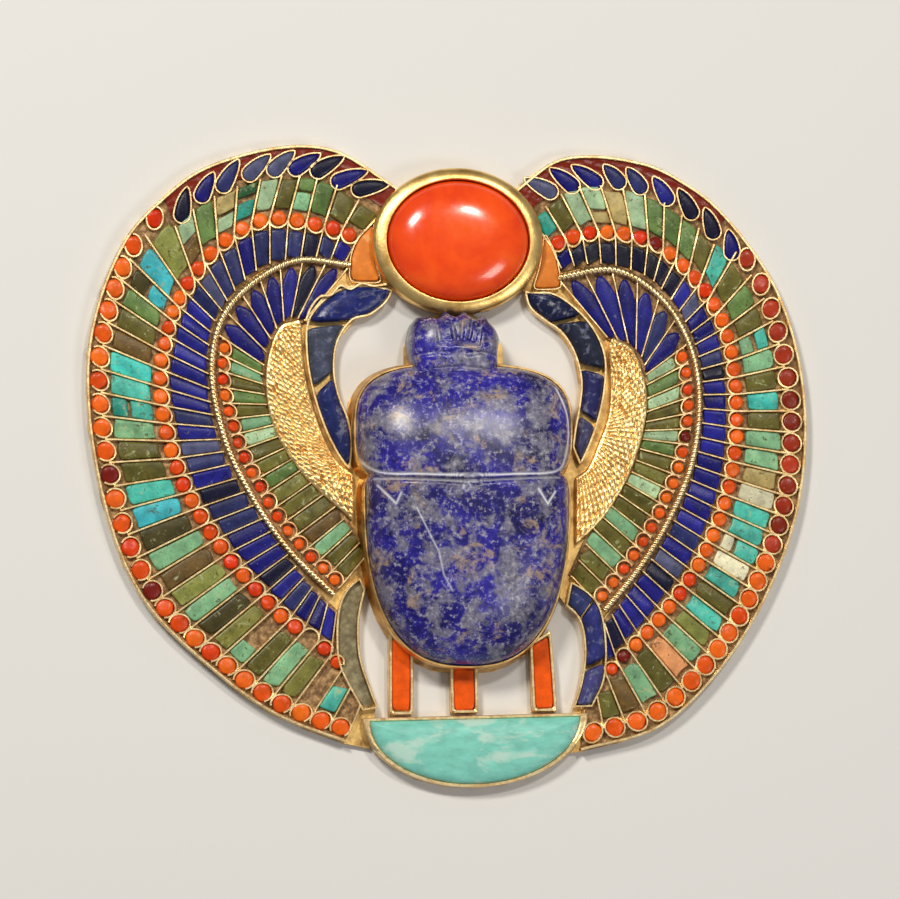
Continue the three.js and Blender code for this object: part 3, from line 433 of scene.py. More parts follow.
def inner_line(wing, column):
    """The two ends, on the wire and at the covert, of a wall's line in the inner wing."""
    long, share = wing["feathers"], LONG_SHARE
    after = share + (1 - share) * (column - long) / SHORT_BARS
    u = np.where(column < long, share * column / long, after)
    t = evenly(wing["wire"], u)
    return wing["wire"](t), wing["covert_edge"](t)


def within(edge, places):
    """Which places lie inside a closed outline: a ray from each crosses it an odd number of times."""
    x, y = places[..., 0, None], places[..., 1, None]
    (ax, ay), (bx, by) = edge.T, np.roll(edge, -1, axis=0).T
    with np.errstate(divide="ignore", invalid="ignore"):
        crossed = ((ay > y) != (by > y)) & (x < (bx - ax) * (y - ay) / (by - ay) + ax)
    return crossed.sum(-1) % 2 == 1


def based(rings, low):
    """A sheet made solid: the two ends of each of its rings are taken straight down to a level."""
    return np.concatenate([rings, rings[:, [-1, 0]] * [1, 1, 0] + [0, 0, low]], 1)


mastic, tree, surface = finish_tree("mastic")
crumb = grainy(tree, 0.9, detail=8, rough=0.7)
colour = ramp(tree, crumb, (0.3, (0.05, 0.026, 0.01)), (0.5, (0.24, 0.135, 0.055)),
              (0.68, (0.6, 0.38, 0.18)))
dress(tree, surface, colour, (crumb, 0.9, 0.00012), 0.92)

for side, wing in wings.items():
    wing["outer"] = lambda column, depth, wing=wing: outer_place(wing, column, depth)
    wing["inner"] = lambda column, depth, wing=wing: inner_place(wing, column, depth)
    leg = band_edge(legs[f"{side}_hind_leg"], 40)
    columns = np.linspace(0, COLUMNS, 305)
    depths = np.arange(0, 24, 0.1)
    hit = within(leg, wing["outer"](columns[:, None], depths[None]))
    stops = np.where(hit.any(1), depths[hit.argmax(1)], 99)
    stops[250:] = np.minimum.accumulate(stops[250:])
    wing["stop"] = lambda column, stops=stops, columns=columns: np.interp(column, columns, stops)

    columns = np.linspace(0, COLUMNS, 229)[:, None]
    low = np.minimum(row_depth(wing, columns)[1] + 0.5, wing["stop"](columns))
    outer_bed = wing["outer"](columns, 0.3 + (low - 0.3) * np.linspace(0, 1, 60))
    columns = np.linspace(0, wing["feathers"] + SHORT_BARS, 150)[:, None]
    ends = np.linalg.norm(np.subtract(*inner_line(wing, columns)), axis=-1)
    inner_bed = wing["inner"](columns, (ends + 0.5) * np.linspace(0, 1, 46))
    for part, flat in (("outer", outer_bed), ("inner", inner_bed)):
        rings = based(raised(flat, BED["level"] + BED["rough"] * lumps(flat)), BED["low"])
        fit(shells(f"{side}_{part}_mastic", rings), mastic, "bare_bed")


# THE CELL WALLS
# Thin gold strips on edge. One stands between each two bars and runs from the rim to the wire,
# bent round the inner side of the second disc. Drops and outer discs have rings of their own.

WALL = {"thick": 0.32, "thin": 0.26, "foot": 1.2, "top": 2.3}
DROPS = 9
DROP = {"heart": 3.4, "radius": 1.12, "points": 30}
WIDEST = 3.0               # the widest ring of an outer disc
SECOND_DISC = {"radius": 1.0}
INNER_DISC = {"depth": 1.6, "radius": 0.78}


def standing(paths, thick):
    """Rings of thin strips on edge along many paths of the same number of stations. The middle
    of each strip sways in height a little, as hand-bent strips do."""
    half = np.broadcast_to(np.asarray(thick, float) / 2, paths.shape[:-1])[..., None]
    sway = 0.05 * lumps(paths, 6.0)[..., None]
    across = half * np.array([1, 1, 0.6, -0.6, -1, -1])
    top = WALL["top"]
    heights = np.array([WALL["foot"], top - 0.07, top, top, top - 0.07, WALL["foot"]])
    tall = heights + sway * (heights > WALL["foot"])
    return carried(paths, np.stack([across, tall], -1))


def arcs(place, columns, depth, reach, start=0.0, end=np.pi, steps=15):
    """Paths round the discs of a row: part of a circle about each disc's centre, from one wall
    over the inner side to the next. Its radius is `reach` times half the width of the column, and
    at most half of the widest ring."""
    centre = place(columns + 0.5, depth)
    across = place(columns + 1.0, depth) - place(columns + 0.0, depth)
    wide = np.linalg.norm(across, axis=-1, keepdims=True)
    reach = reach * np.minimum(1, WIDEST / wide)
    down = place(columns + 0.5, depth + 0.2) - place(columns + 0.5, depth - 0.2)
    across, down = across / wide, down / np.linalg.norm(down, axis=-1, keepdims=True)
    angle = np.linspace(start, end, steps)[None, :, None]
    radius = (wide * reach / 2)[:, None]
    return centre[:, None] + radius * (np.cos(angle) * -across[:, None] + np.sin(angle) * down[:, None])


def disc_depth(wing, column):
    """How deep the outer discs lie: the first ones touch the rim."""
    return np.interp(column, [10, 14], [WIDEST / 2 + 0.1, wing["disc_depth"]])


def drop_paths(wing, radius, short):
    """Teardrops: a half circle behind the heart, and before it a long half oval whose width falls
    with a power of the sine, so it ends in a point. The point is bent a little to one side."""
    heart, point = np.split(np.array(wing["drops"]), 2, axis=1)
    lean = point - heart
    far = np.linalg.norm(lean, axis=-1)[:, None]
    angle = np.linspace(-np.pi, np.pi, DROP["points"], endpoint=False)[None]
    c, s = np.cos(angle), np.sin(angle)
    along = np.where(c > 0, (far * 1.06 - short) * c, radius * c)
    across = radius * np.sign(s) * np.abs(s) ** np.where(c > 0, 1.35, 1.0)
    across = across - 0.3 * wing["inwards"] * np.clip(along / far, 0, 1) ** 2
    ahead = (lean / far)[:, None]
    return heart[:, None] + along[..., None] * ahead + across[..., None] * (ahead[..., ::-1] * [-1, 1])


for side, wing in wings.items():
    outer, inner = wing["outer"], wing["inner"]
    walls = []
    columns = np.arange(COLUMNS + 1)[:, None]
    first, second = row_depth(wing, columns)
    start = np.where(columns <= DROPS + 1, DROP["heart"] + 1.35, wing["disc_depth"] + 0.2)
    down = np.linspace(0, 1, 8)
    upper = start + (first - start) * down
    lower = first + (second + 0.1 - first) * down[1:]
    depth = np.concatenate([upper, lower], 1)
    depth = np.minimum(depth, wing["stop"](columns) - 0.15 * down[-1])
    depth += np.linspace(0, 1e-3, depth.shape[1])
    thick = np.r_[np.full(8, WALL["thick"]), np.full(7, WALL["thin"])]
    walls.append(standing(outer(columns, depth), thick))

    cells = np.arange(COLUMNS)
    middle = row_depth(wing, cells + 0.5)[0]
    clear = middle + 1.6 < wing["stop"](cells + 0.5)
    walls.append(standing(arcs(outer, cells[clear], middle[clear], 1.0), WALL["thick"]))

    discs = np.arange(wing["discs_from"], COLUMNS)
    clear = wing["disc_depth"] + 1.6 < wing["stop"](discs + 0.5)
    gape = (-1.6, 4.7) if wing["rings_closed"] else (-0.75, np.pi + 0.75)
    walls.append(standing(arcs(outer, discs[clear], disc_depth(wing, discs[clear]), 0.97, *gape),
                          WALL["thick"]))

    columns = np.arange(wing["feathers"] + SHORT_BARS + 1)[:, None]
    ends = np.linalg.norm(np.subtract(*inner_line(wing, columns)), axis=-1)
    depth = 0.45 + (ends + 0.1 - 0.45) * np.linspace(0, 1, 15)
    short = columns[:, 0] > wing["feathers"]
    depth[short] = (1.6 + (ends + 0.1 - 1.6) * np.linspace(0, 1, 15))[short]
    walls.append(standing(inner(columns, depth), WALL["thin"]))
    dots = wing["feathers"] + np.arange(SHORT_BARS)
    walls.append(standing(arcs(inner, dots, np.full(SHORT_BARS, INNER_DISC["depth"]), 1.0, -0.5,
                               np.pi + 0.5), WALL["thin"]))
    fit(shells(f"{side}_cell_walls", np.concatenate(walls)), strip_gold, "gold")

    path = drop_paths(wing, DROP["radius"] + 0.1, 0.0)
    half = WALL["thin"] / 2
    section = strip_profile(-half, half, WALL["foot"], WALL["top"], 0.05)
    fit(shells(f"{side}_drop_walls", carried(path, section, closed=True), loop=True), strip_gold, "gold")


# THE BARS OF THE WINGS
# Green stones, turquoise and a few pale ones, each cut to its own cell and rounded at the ends.
# Some are in two pieces, and a dash stands for a lost one, whose bed is bare.

STONES = {
    "olive": (0.12, 0.105, 0.02), "green": (0.11, 0.19, 0.05), "mint": (0.2, 0.42, 0.22),
    "pale": (0.36, 0.52, 0.3), "deep": (0.02, 0.08, 0.03), "teal": (0.02, 0.26, 0.2),
    "sand": (0.42, 0.32, 0.12), "lime": (0.25, 0.27, 0.06), "sky": (0.05, 0.44, 0.5),
    "dusk": (0.055, 0.045, 0.012), "bronze": (0.14, 0.08, 0.02), "aqua": (0.06, 0.56, 0.48),
    "turquoise": (0.07, 0.46, 0.36), "moss": (0.18, 0.17, 0.035), "cream": (0.66, 0.62, 0.42),
    "peach": (0.62, 0.26, 0.1),
}
runs = {
    "left": "olive olive green green/mint olive pale deep/teal sand/pale green pale/bronze "
            "lime sky dusk/sky green olive bronze aqua turquoise teal/turquoise mint olive olive "
            "turquoise sky dusk mint bronze lime mint dusk moss mint/- olive mint moss - "
            "turquoise -",
    "right": "teal olive pale pale/sand sand pale green green green olive turquoise olive green "
             "olive turquoise/mint mint olive aqua olive mint mint sand cream turquoise turquoise "
             "turquoise/cream cream turquoise olive turquoise lime mint peach olive mint bronze "
             "olive olive",
}
STONE = {"foot": 1.3, "top": 2.1, "crown": 0.05, "tilt": 0.07}


def pebbles(count, points, power, wobble):
    """Unit outlines from round (power 2) to nearly square (power 8), each pulled in here and
    there by a few waves round it."""
    angle = np.linspace(0, 2 * np.pi, points, endpoint=False)
    shape = np.stack([np.cos(angle), np.sin(angle)], -1)
    shape = np.sign(shape) * np.abs(shape) ** (2 / power)
    size = random.uniform(0, 1, (count, 3, 1)) / 3
    turn = random.uniform(0, 2 * np.pi, (count, 3, 1))
    dent = (size * (1 + np.cos(np.array([2, 3, 5])[:, None] * angle + turn)) / 2).sum(1)
    return shape * (1 - wobble * dent[..., None] * 2)


def cell_width(place, columns, depth):
    """How far apart a column's two walls are at a depth."""
    return np.linalg.norm(place(columns + 1.0, depth) - place(columns + 0.0, depth), axis=-1)


def cut_stones(place, columns, start, end, power=8.0, points=20, gap=0.15, wobble=0.13, stop=None):
    """Rings of the stones of a row: a near-square outline in the room between two walls, carried
    up to a softened edge and a slightly crowned face that leans a little."""
    unit = pebbles(len(columns), points, power, wobble)
    centre = columns + 0.5
    middle, half = ((start + end) / 2)[:, None], ((end - start) / 2)[:, None]
    wide = cell_width(place, columns, middle[:, 0])
    lean = random.normal(size=(len(columns), 2, 1)) * STONE["tilt"]
    lift = random.normal(size=len(columns)) * 0.05
    top, rings = STONE["top"], []
    for inset, height in ((0, STONE["foot"]), (0, top - 0.16), (0.05, top - 0.05), (0.16, top),
                          (0.45, top + STONE["crown"])):
        across = 0.5 - (gap + inset) / wide
        column = centre[:, None] + unit[..., 0] * np.maximum(across, 0.06)[:, None]
        depth = middle + unit[..., 1] * np.maximum(half - inset * 0.9, 0.12)
        if stop is not None:
            depth = np.minimum(depth, stop(column) - 0.3 - inset)
        flat = place(column, depth)
        rise = (lift[:, None] + (unit * lean.transpose(0, 2, 1)).sum(-1)) * (height > STONE["foot"])
        rings.append(raised(flat, height + rise))
    return np.stack(rings, 1)


def stone_finish(name, patches, patch_size, patch_from, sheen, streak=(1, 1, 1), flecks=None,
                 spread=0.5):
    """Polished stone. The tint kept on each stone runs darker and lighter with a noise that
    starts anew in each stone, patches of other colours show where a second noise is high, and
    a fine noise pits the surface."""
    material, tree, surface = finish_tree(name)
    tint = shade(tree, "Attribute", attribute_name="tint").outputs["Color"]
    own = shade(tree, "Attribute", attribute_name="grain").outputs["Fac"]
    place = shade(tree, "Mapping", {"Vector": shade(tree, "TexCoord").outputs["Object"],
                                    "Scale": streak}).outputs["Vector"]

    def noise(size, detail=5.0, rough=0.6, warp=0.0):
        """A noise that starts anew in each stone, with lumps of a size in millimetres."""
        return shade(tree, "TexNoise", {"Vector": place, "W": own, "Scale": 1000 / size,
                                        "Detail": detail, "Roughness": rough, "Distortion": warp},
                     noise_dimensions="4D").outputs["Fac"]

    cloud = ramp(tree, noise(1.6), (0.3, 1 - spread), (0.7, 1.0))
    light = mixed(tree, 1.0, tint, (1 + spread * 0.6,) * 3, "MULTIPLY")
    colour = mixed(tree, 1.0, light, cloud, "MULTIPLY")
    for k, (patch, size, start) in enumerate(zip(patches, patch_size, patch_from)):
        share = ramp(tree, noise(size, 6.0, 0.65, 0.4 + k), (start, 0.0), (start + 0.09, 0.8))
        colour = mixed(tree, share, colour, patch)
    if flecks:
        spot = ramp(tree, noise(0.28, 1.0, 0.3), (0.76, 0.0), (0.8, 1.0))
        colour = mixed(tree, spot, colour, flecks)
    pits = noise(0.35, 4.0)
    dress(tree, surface, colour, (pits, 0.35, 0.00008), (pits, sheen - 0.12, sheen + 0.16))
    surface.inputs["Specular IOR Level"].default_value = 0.2
    return material


def lay_stones(name, rings, tints, finish, slot, *stands_for):
    """A row of stones as one piece, each with its own tint and grain."""
    tints = np.asarray(tints, float)
    grains = random.uniform(0, 50, len(tints))
    fit(shells(name, rings, smooth=60, tint=tints, grain=grains), finish, slot, *stands_for)


green_stone = stone_finish(
    "green_stone", [(0.06, 0.035, 0.008), (0.4, 0.44, 0.22)], (0.8, 1.6), (0.56, 0.58), 0.3, spread=0.6)

for side, wing in wings.items():
    outer = wing["outer"]
    columns, starts, ends, names = [], [], [], []
    for column, word in enumerate(runs[side].split()):
        first = row_depth(wing, column + 0.5)[0]
        top = DROP["heart"] + DROP["radius"] + 0.3 if column <= DROPS else wing["disc_depth"] + 1.45
        bottom = first - SECOND_DISC["radius"] - 0.25
        parts = word.split("/")
        cut = top + (bottom - top) * random.uniform(0.4, 0.65)
        spans = [(top, bottom)] if len(parts) == 1 else [(top, cut - 0.05), (cut + 0.05, bottom)]
        for part, (a, b) in zip(parts, spans):
            if part != "-":
                columns.append(column), starts.append(a), ends.append(b), names.append(part)
    columns, starts, ends = np.array(columns), np.array(starts), np.array(ends)
    starts = starts + random.uniform(0, 0.3, len(starts))
    ends = ends - random.uniform(0, 0.25, len(ends))
    tints = np.array([STONES[name] for name in names]) * random.uniform(0.82, 1.18, (len(names), 1))
    rings = cut_stones(outer, columns, starts, ends, stop=wing["stop"])
    keep = ends + 0.4 < wing["stop"](columns + 0.5)
    rings, tints, columns = rings[keep], tints[keep], columns[keep]
    shoulder = columns <= DROPS
    lay_stones(f"{side}_shoulder_stones", rings[shoulder], tints[shoulder], green_stone, "green_stone",
               f"{side}_shoulder_bars")
    lay_stones(f"{side}_wing_stones", rings[~shoulder], tints[~shoulder], green_stone, "turquoise",
               f"{side}_wing_bars")


# THE LAPIS BARS, THE DROPS AND THE LONG FEATHERS
# Lapis of every grade, from near black to grey: bars between the second discs and the wire,
# teardrops along the shoulder, and feathers that come to a point at the wire.

LAPIS = np.array([(0.007, 0.006, 0.13), (0.013, 0.013, 0.2), (0.02, 0.025, 0.11), (0.006, 0.006, 0.025),
                  (0.07, 0.075, 0.16), (0.012, 0.013, 0.022)])
lapis = stone_finish("lapis", [(0.13, 0.14, 0.22), (0.3, 0.22, 0.13)], (1.1, 0.6), (0.62, 0.72),
                     0.3, flecks=(0.26, 0.2, 0.11), spread=0.6)


def feather_outline(count, points=26):
    """Unit outlines with one pointed end, towards the wire: the half width grows with a power of
    the distance from the point, holds, and shrinks a little at the other end."""
    run = np.linspace(0, 1, points // 2) ** 1.6
    half = np.minimum(1, (run / 0.3) ** 0.62) * (1 - 0.5 * np.clip((run - 0.93) / 0.07, 0, 1) ** 2)
    one = np.stack([half, run * 2 - 1], -1)
    other = np.stack([-half[::-1], run[::-1] * 2 - 1], -1)
    return np.broadcast_to(np.vstack([one[1:], other[:-1]]), (count, points - 2, 2))


for side, wing in wings.items():
    outer, inner = wing["outer"], wing["inner"]
    cells = np.arange(COLUMNS)
    first, second = row_depth(wing, cells + 0.5)
    start = first + SECOND_DISC["radius"] + 0.55
    keep = start + 1.2 < wing["stop"](cells + 0.5)
    rings = cut_stones(outer, cells[keep], start[keep], second[keep] - 0.1, power=9, gap=0.17,
                       stop=wing["stop"], wobble=0.06)
    grade = random.choice(5, keep.sum(), p=[0.3, 0.3, 0.2, 0.1, 0.1])
    if side == "right":
        grade[1:9] = 3
        grade[2:7:2] = 5
    tints = LAPIS[grade] * random.uniform(0.8, 1.25, (keep.sum(), 1))
    lay_stones(f"{side}_lapis_stones", rings, tints, lapis, "lapis", f"{side}_lapis_bars")

    rows = []
    for radius, short, height in ((DROP["radius"] - 0.06, 0.3, STONE["foot"]),
                                  (DROP["radius"] - 0.06, 0.3, 2.0),
                                  (DROP["radius"] - 0.18, 0.6, 2.14),
                                  (DROP["radius"] - 0.5, 1.3, 2.22)):
        flat = drop_paths(wing, radius, short)
        rows.append(raised(flat, height))
    grade = random.choice(5, DROPS, p=[0.35, 0.25, 0.1, 0.2, 0.1])
    lay_stones(f"{side}_drops", np.stack(rows, 1), LAPIS[grade], lapis, "deep_lapis",
               f"{side}_lapis_drops")

    count = wing["feathers"]
    unit = feather_outline(count)
    wire, edge = inner_line(wing, np.arange(count) + 0.5)
    length = np.linalg.norm(edge - wire, axis=-1)[:, None]
    rows = []
    for inset, height in ((0, STONE["foot"]), (0, 1.95), (0.06, 2.06), (0.2, 2.12), (0.42, 2.16)):
        top, bottom = 0.75 + inset * 2, length - 0.05 - inset
        depth = (top + bottom) / 2 + unit[..., 1] * (bottom - top) / 2
        lines = np.arange(count)[:, None] + 0.5
        room = cell_width(inner, lines - 0.5, depth)
        flat = inner(lines + unit[..., 0] * np.maximum(0.5 - (0.16 + inset) / room, 0.05), depth)
        rows.append(raised(flat, height))
    grade = random.choice(5, count, p=[0.35, 0.3, 0.15, 0.1, 0.1])
    lay_stones(f"{side}_feathers", np.stack(rows, 1), LAPIS[grade], lapis, "lapis",
               f"{side}_long_feathers")


# THE CARNELIAN DISCS OF THE WINGS
# Small flat discs of carnelian: one at the rim end of each bar, one in the bend of each wall, and
# one at the head of each short inner bar. Dark red chips fill the rim between the drops.

carnelian = stone_finish("carnelian", [(0.2, 0.012, 0.004), (0.72, 0.26, 0.1)], (1.3, 0.9),
                         (0.62, 0.68), 0.25, spread=0.4)


def round_stones(place, columns, depth, radius, top, points=16):
    """Rings of flat discs with softened edges, each a little uneven and a little off centre."""
    unit = pebbles(len(columns), points, 2.0, 0.1)
    centre = place(columns + 0.5, depth) + random.normal(size=(len(columns), 2)) * 0.04
    lean = random.normal(size=(len(columns), 1, 2)) * 0.06
    radius = np.broadcast_to(radius, len(columns))[:, None, None]
    rows = []
    for share, height in ((1, STONE["foot"]), (1, top - 0.2), (0.93, top - 0.06), (0.75, top + 0.03),
                          (0.35, top + 0.08)):
        flat = centre[:, None] + unit * radius * share
        rise = height + (unit * lean).sum(-1) * (height > STONE["foot"])
        rows.append(raised(flat, rise))
    return np.stack(rows, 1)


def reds(count, deep=0.04):
    """Tints of carnelian from red to orange, with a share of them deep."""
    warm = random.uniform(0, 1, (count, 1))
    tint = np.array([0.6, 0.028, 0.002]) * (1 - warm) + np.array([0.8, 0.15, 0.01]) * warm
    dark = random.uniform(0, 1, (count, 1)) < deep
    return np.where(dark, np.array([0.16, 0.01, 0.006]), tint)


for side, wing in wings.items():
    outer, inner = wing["outer"], wing["inner"]
    cells = np.arange(wing["discs_from"], COLUMNS)
    depth = disc_depth(wing, cells)
    keep = depth + 1.3 < wing["stop"](cells + 0.5)
    cells, depth = cells[keep], depth[keep]
    radius = np.minimum(cell_width(outer, cells, depth), WIDEST) / 2 - 0.13
    rings = round_stones(outer, cells, depth, radius, 2.14)
    tints = reds(len(cells))
    if side == "right":
        tints[:14] = np.array([0.24, 0.022, 0.007]) * random.uniform(0.6, 1.9, (14, 1))
    lay_stones(f"{side}_outer_dots", rings, tints, carnelian, "carnelian", f"{side}_outer_discs")

    cells = np.arange(COLUMNS)
    first = row_depth(wing, cells + 0.5)[0]
    keep = first + 1.3 < wing["stop"](cells + 0.5)
    if side == "left":
        keep[33] = False
    radius = np.minimum(cell_width(outer, cells, first) / 2 - 0.2, SECOND_DISC["radius"] + 0.1)
    rings = round_stones(outer, cells[keep], first[keep], radius[keep], 2.14)
    lay_stones(f"{side}_second_dots", rings, reds(keep.sum(), 0.03), carnelian, "carnelian",
               f"{side}_second_discs")

    dots = wing["feathers"] + np.arange(SHORT_BARS)
    depth = np.full(SHORT_BARS, INNER_DISC["depth"])
    rings = round_stones(inner, dots, depth, INNER_DISC["radius"], 2.14, 12)
    lay_stones(f"{side}_inner_dots", rings, reds(SHORT_BARS, 0.05), carnelian, "carnelian",
               f"{side}_inner_discs")

    start = np.full(SHORT_BARS, INNER_DISC["depth"] + INNER_DISC["radius"] + 0.4)
    wire, edge = inner_line(wing, dots + 0.5)
    end = np.linalg.norm(edge - wire, axis=-1) + 0.1
    rings = cut_stones(inner, dots, start, end, gap=0.16, points=14)
    pick = random.choice(["olive", "moss", "green", "mint", "pale", "bronze"], SHORT_BARS,
                         p=[0.3, 0.2, 0.2, 0.15, 0.1, 0.05])
    tints = np.array([STONES[name] for name in pick]) * random.uniform(0.8, 1.2, (SHORT_BARS, 1))
    lay_stones(f"{side}_inner_stones", rings, tints, green_stone, "green_stone",
               f"{side}_inner_bars")

    columns = np.linspace(0.1, DROPS + 1.0, 90)[:, None]
    flat = outer(columns, 0.6 + 3.1 * np.linspace(0, 1, 14))
    rings = based(raised(flat, 1.92 + 0.07 * lumps(flat, 1.4)), BED["low"])
    lay_stones(f"{side}_shoulder_chips", rings[None], [(0.17, 0.013, 0.003)], carnelian, "carnelian")


# THE TWISTED WIRES
# Two gold wires twisted into a cord, soldered along the line between the outer and inner wing.

CORD = {"radius": 0.56, "groove": 0.27, "height": 2.2, "pitch": 0.66}
for side, wing in wings.items():
    path = wing["wire"](evenly(wing["wire"], np.linspace(0, 1, 1100)))
    run = distances(path)[:, None]
    ring = np.linspace(0, 2 * np.pi, 12, endpoint=False)
    bead = np.abs(np.sin(np.pi * run / CORD["pitch"] + ring * wing["inwards"]))
    radius = CORD["radius"] - CORD["groove"] * (1 - np.sqrt(bead))
    flat = path[:, None] + (radius * np.cos(ring))[..., None] * sideways(path)[:, None]
    rings = raised(flat, CORD["height"] + radius * np.sin(ring))
    fit(shells(f"{side}_twisted_wire", rings, smooth=80), strip_gold, "gold", f"{side}_beaded_wire")
    seat = carried(path[::10], strip_profile(-0.3, 0.3, SHELF, 2.05))
    fit(shells(f"{side}_wire_seat", seat), strip_gold, "gold")


# THE COVERTS
# The top of each inner wing is a long raised leaf of gold, covered with rows of small plump
# scales that are punched one row over the next, with a plain edge.

coverts = {
    "left": {
        "outer": guide([(-21.9, 20.9), (-24.4, 20.0), (-26.5, 13.9), (-25.6, 5.9), (-21.4, -1.2),
                        (-14.0, -8.0)]),
        "inner": guide([(-21.3, 19.8), (-21.1, 15.5), (-20.2, 10.3), (-17.9, 3.5), (-15.9, 0.2),
                        (-14.0, -1.2)]),
    },
    "right": {
        "outer": guide([(23.9, 18.9), (26.8, 17.3), (29.0, 10.3), (27.0, 0.6), (22.8, -7.0),
                        (18.6, -11.2)]),
        "inner": guide([(23.3, 17.4), (23.6, 11.9), (23.2, 7.3), (21.8, 3.4), (20.2, -0.2),
                        (18.6, -1.4)]),
    },
}
SCALE = {"long": 0.72, "wide": 0.92, "rise": 0.3, "crest": 2.62, "edge": 2.2}
scale_gold = worn_gold("scale_gold", (1.0, 0.74, 0.34), (0.72, 0.42, 0.14), 0.26, 0.5, 1.5)
for side, covert in coverts.items():
    along = np.linspace(0, 1, 440)[:, None]
    over = np.linspace(0, 1, 64)[None]
    a, b = covert["outer"](along), covert["inner"](along)
    flat = a + (b - a) * over[..., None]
    width = np.linalg.norm(b - a, axis=-1)
    run = distances((a[:, 0] + b[:, 0]) / 2)[:, None]
    row = np.floor(run / SCALE["long"])
    x = over * width / SCALE["wide"] + 0.5 * (row % 2)
    jitter = 0.12 * np.sin(row * 12.9 + np.floor(x) * 78.2)
    u = (x - np.floor(x) - 0.5 + jitter) * 2
    v = run / SCALE["long"] - row
    plump = np.sqrt(np.clip(1 - u**2 * 0.9, 0, 1)) * np.sqrt(np.clip(1 - ((v - 0.42) / 0.6) ** 2, 0, 1))
    border = np.clip(np.minimum(over, 1 - over) * width / 0.5, 0, 1)
    swell = np.sqrt(np.clip(1 - (2 * over - 1) ** 2, 0, 1)) ** 0.7
    height = SCALE["edge"] + (SCALE["crest"] - SCALE["edge"]) * swell
    height = height + SCALE["rise"] * (plump - 0.7) * (border > 0.95) + 0.03 * lumps(flat, 1.2)
    rings = based(raised(flat, height), SHELF)
    fit(shells(f"{side}_scaled_covert", rings, smooth=50), scale_gold, "scale_gold", f"{side}_covert")


# THE LEG STONES
# Each leg is cut from a few pieces of mottled lapis with arched backs and rounded ends. The left
# hind leg has lost its stones, and its cement lies bare.

LEG = {"foot": 1.05, "edge": 2.0, "top": 3.08, "gap": 0.24, "bare": 1.6}
leg_lapis = stone_finish("leg_lapis", [(0.16, 0.17, 0.24), (0.24, 0.19, 0.14)], (1.3, 0.7),
                         (0.54, 0.66), 0.2, spread=0.6)
old_cement, tree, surface = finish_tree("old_cement")
crumb = grainy(tree, 1.4, detail=8, rough=0.7)
colour = ramp(tree, crumb, (0.3, (0.07, 0.055, 0.022)), (0.5, (0.19, 0.155, 0.075)),
              (0.7, (0.36, 0.31, 0.17)))
dress(tree, surface, colour, (crumb, 0.8, 0.00015), 0.7)
for name, leg in legs.items():
    joints = leg["joints"]
    for k, (start, end) in enumerate(zip(joints, joints[1:])):
        run = np.linspace(0, 1, 40)
        t = start + 0.012 + (end - start - 0.024) * run
        a, b = leg["outer"](t), leg["inner"](t)
        width = np.linalg.norm(b - a, axis=-1)[:, None]
        near = np.minimum(run, 1 - run)[:, None]
        close = np.sqrt(np.clip(1 - (1 - np.clip(near / 0.06, 0, 1)) ** 2, 0.02, 1))
        arch = np.linspace(0, np.pi, 15)[None]
        share = 0.5 - (0.5 - LEG["gap"] / width) * np.cos(arch) * (0.55 + 0.45 * close)
        flat = a[:, None] + (b - a)[:, None] * share[..., None]
        if name == "left_hind_leg":
            rings = based(raised(flat, LEG["bare"] + 0.1 * lumps(flat, 1.6)), LEG["foot"])
            fit(shells("left_hind_leg_cement", rings), old_cement, "bare_bed", "left_hind_leg_bare_bed")
        else:
            height = LEG["edge"] + (LEG["top"] - LEG["edge"]) * np.sin(arch) ** 0.8 * close
            rings = based(raised(flat, height + 0.03 * lumps(flat, 2.4)), LEG["foot"])
            lay_stones(f"{name}_stone_{k + 1}", rings[None], [leg["tints"][k]], leg_lapis, "lapis",
                       f"{name}_inlay_{k + 1}")

# A crumpled strip that stands in the left foreleg's first cell
crumple = guide([(-9.05, 26.2), (-11.05, 25.9), (-12.7, 26.25), (-14.4, 25.4), (-15.8, 25.9),
                 (-17.2, 24.5), (-18.7, 24.25), (-20.1, 22.6), (-20.8, 20.7)])
path = crumple(evenly(crumple, np.linspace(0, 1, 90)))
rings = carried(path, strip_profile(-0.17, 0.17, WALL["foot"], 3.0, 0.05))
fit(shells("left_foreleg_crumpled_strip", rings), strip_gold, "gold")


# THE CORNER STONES
# Two orange stones fill the corners between the disc and the wings.

corners = {
    "left": [(-10.7, 35.7), (-13.2, 33.1), (-14.3, 30.4), (-14.5, 26.4), (-9.5, 26.4), (-10.7, 29.0)],
    "right": [(14.0, 34.2), (15.7, 31.0), (16.6, 25.9), (12.2, 25.7), (13.3, 29.0)],
}
orange_stone = stone_finish("orange_stone", [(0.75, 0.4, 0.14), (0.4, 0.1, 0.02)], (1.6, 0.7),
                            (0.6, 0.7), 0.45, spread=0.35)


def round_the(outline, points):
    """An outline through the same corners with even short steps, its corners eased by averaging."""
    bends = np.vstack([outline, outline[:1]]).astype(float)
    run = distances(bends)
    at = np.linspace(0, run[-1], points, endpoint=False)
    path = np.stack([np.interp(at, run, bends[:, k]) for k in (0, 1)], -1)
    for _ in range(3):
        path = (np.roll(path, 1, 0) + 2 * path + np.roll(path, -1, 0)) / 4
    return path


def slab(outline, levels):
    """Rings of a slab: the outline drawn in towards its middle until its nearest side has moved
    by each level's inset, at each level's height."""
    hub = outline.mean(0)
    near = np.abs(((hub - outline) * sideways(outline, closed=True)).sum(-1)).min()
    return np.stack([raised(hub + (outline - hub) * (1 - inset / near), height)
                     for inset, height in levels])


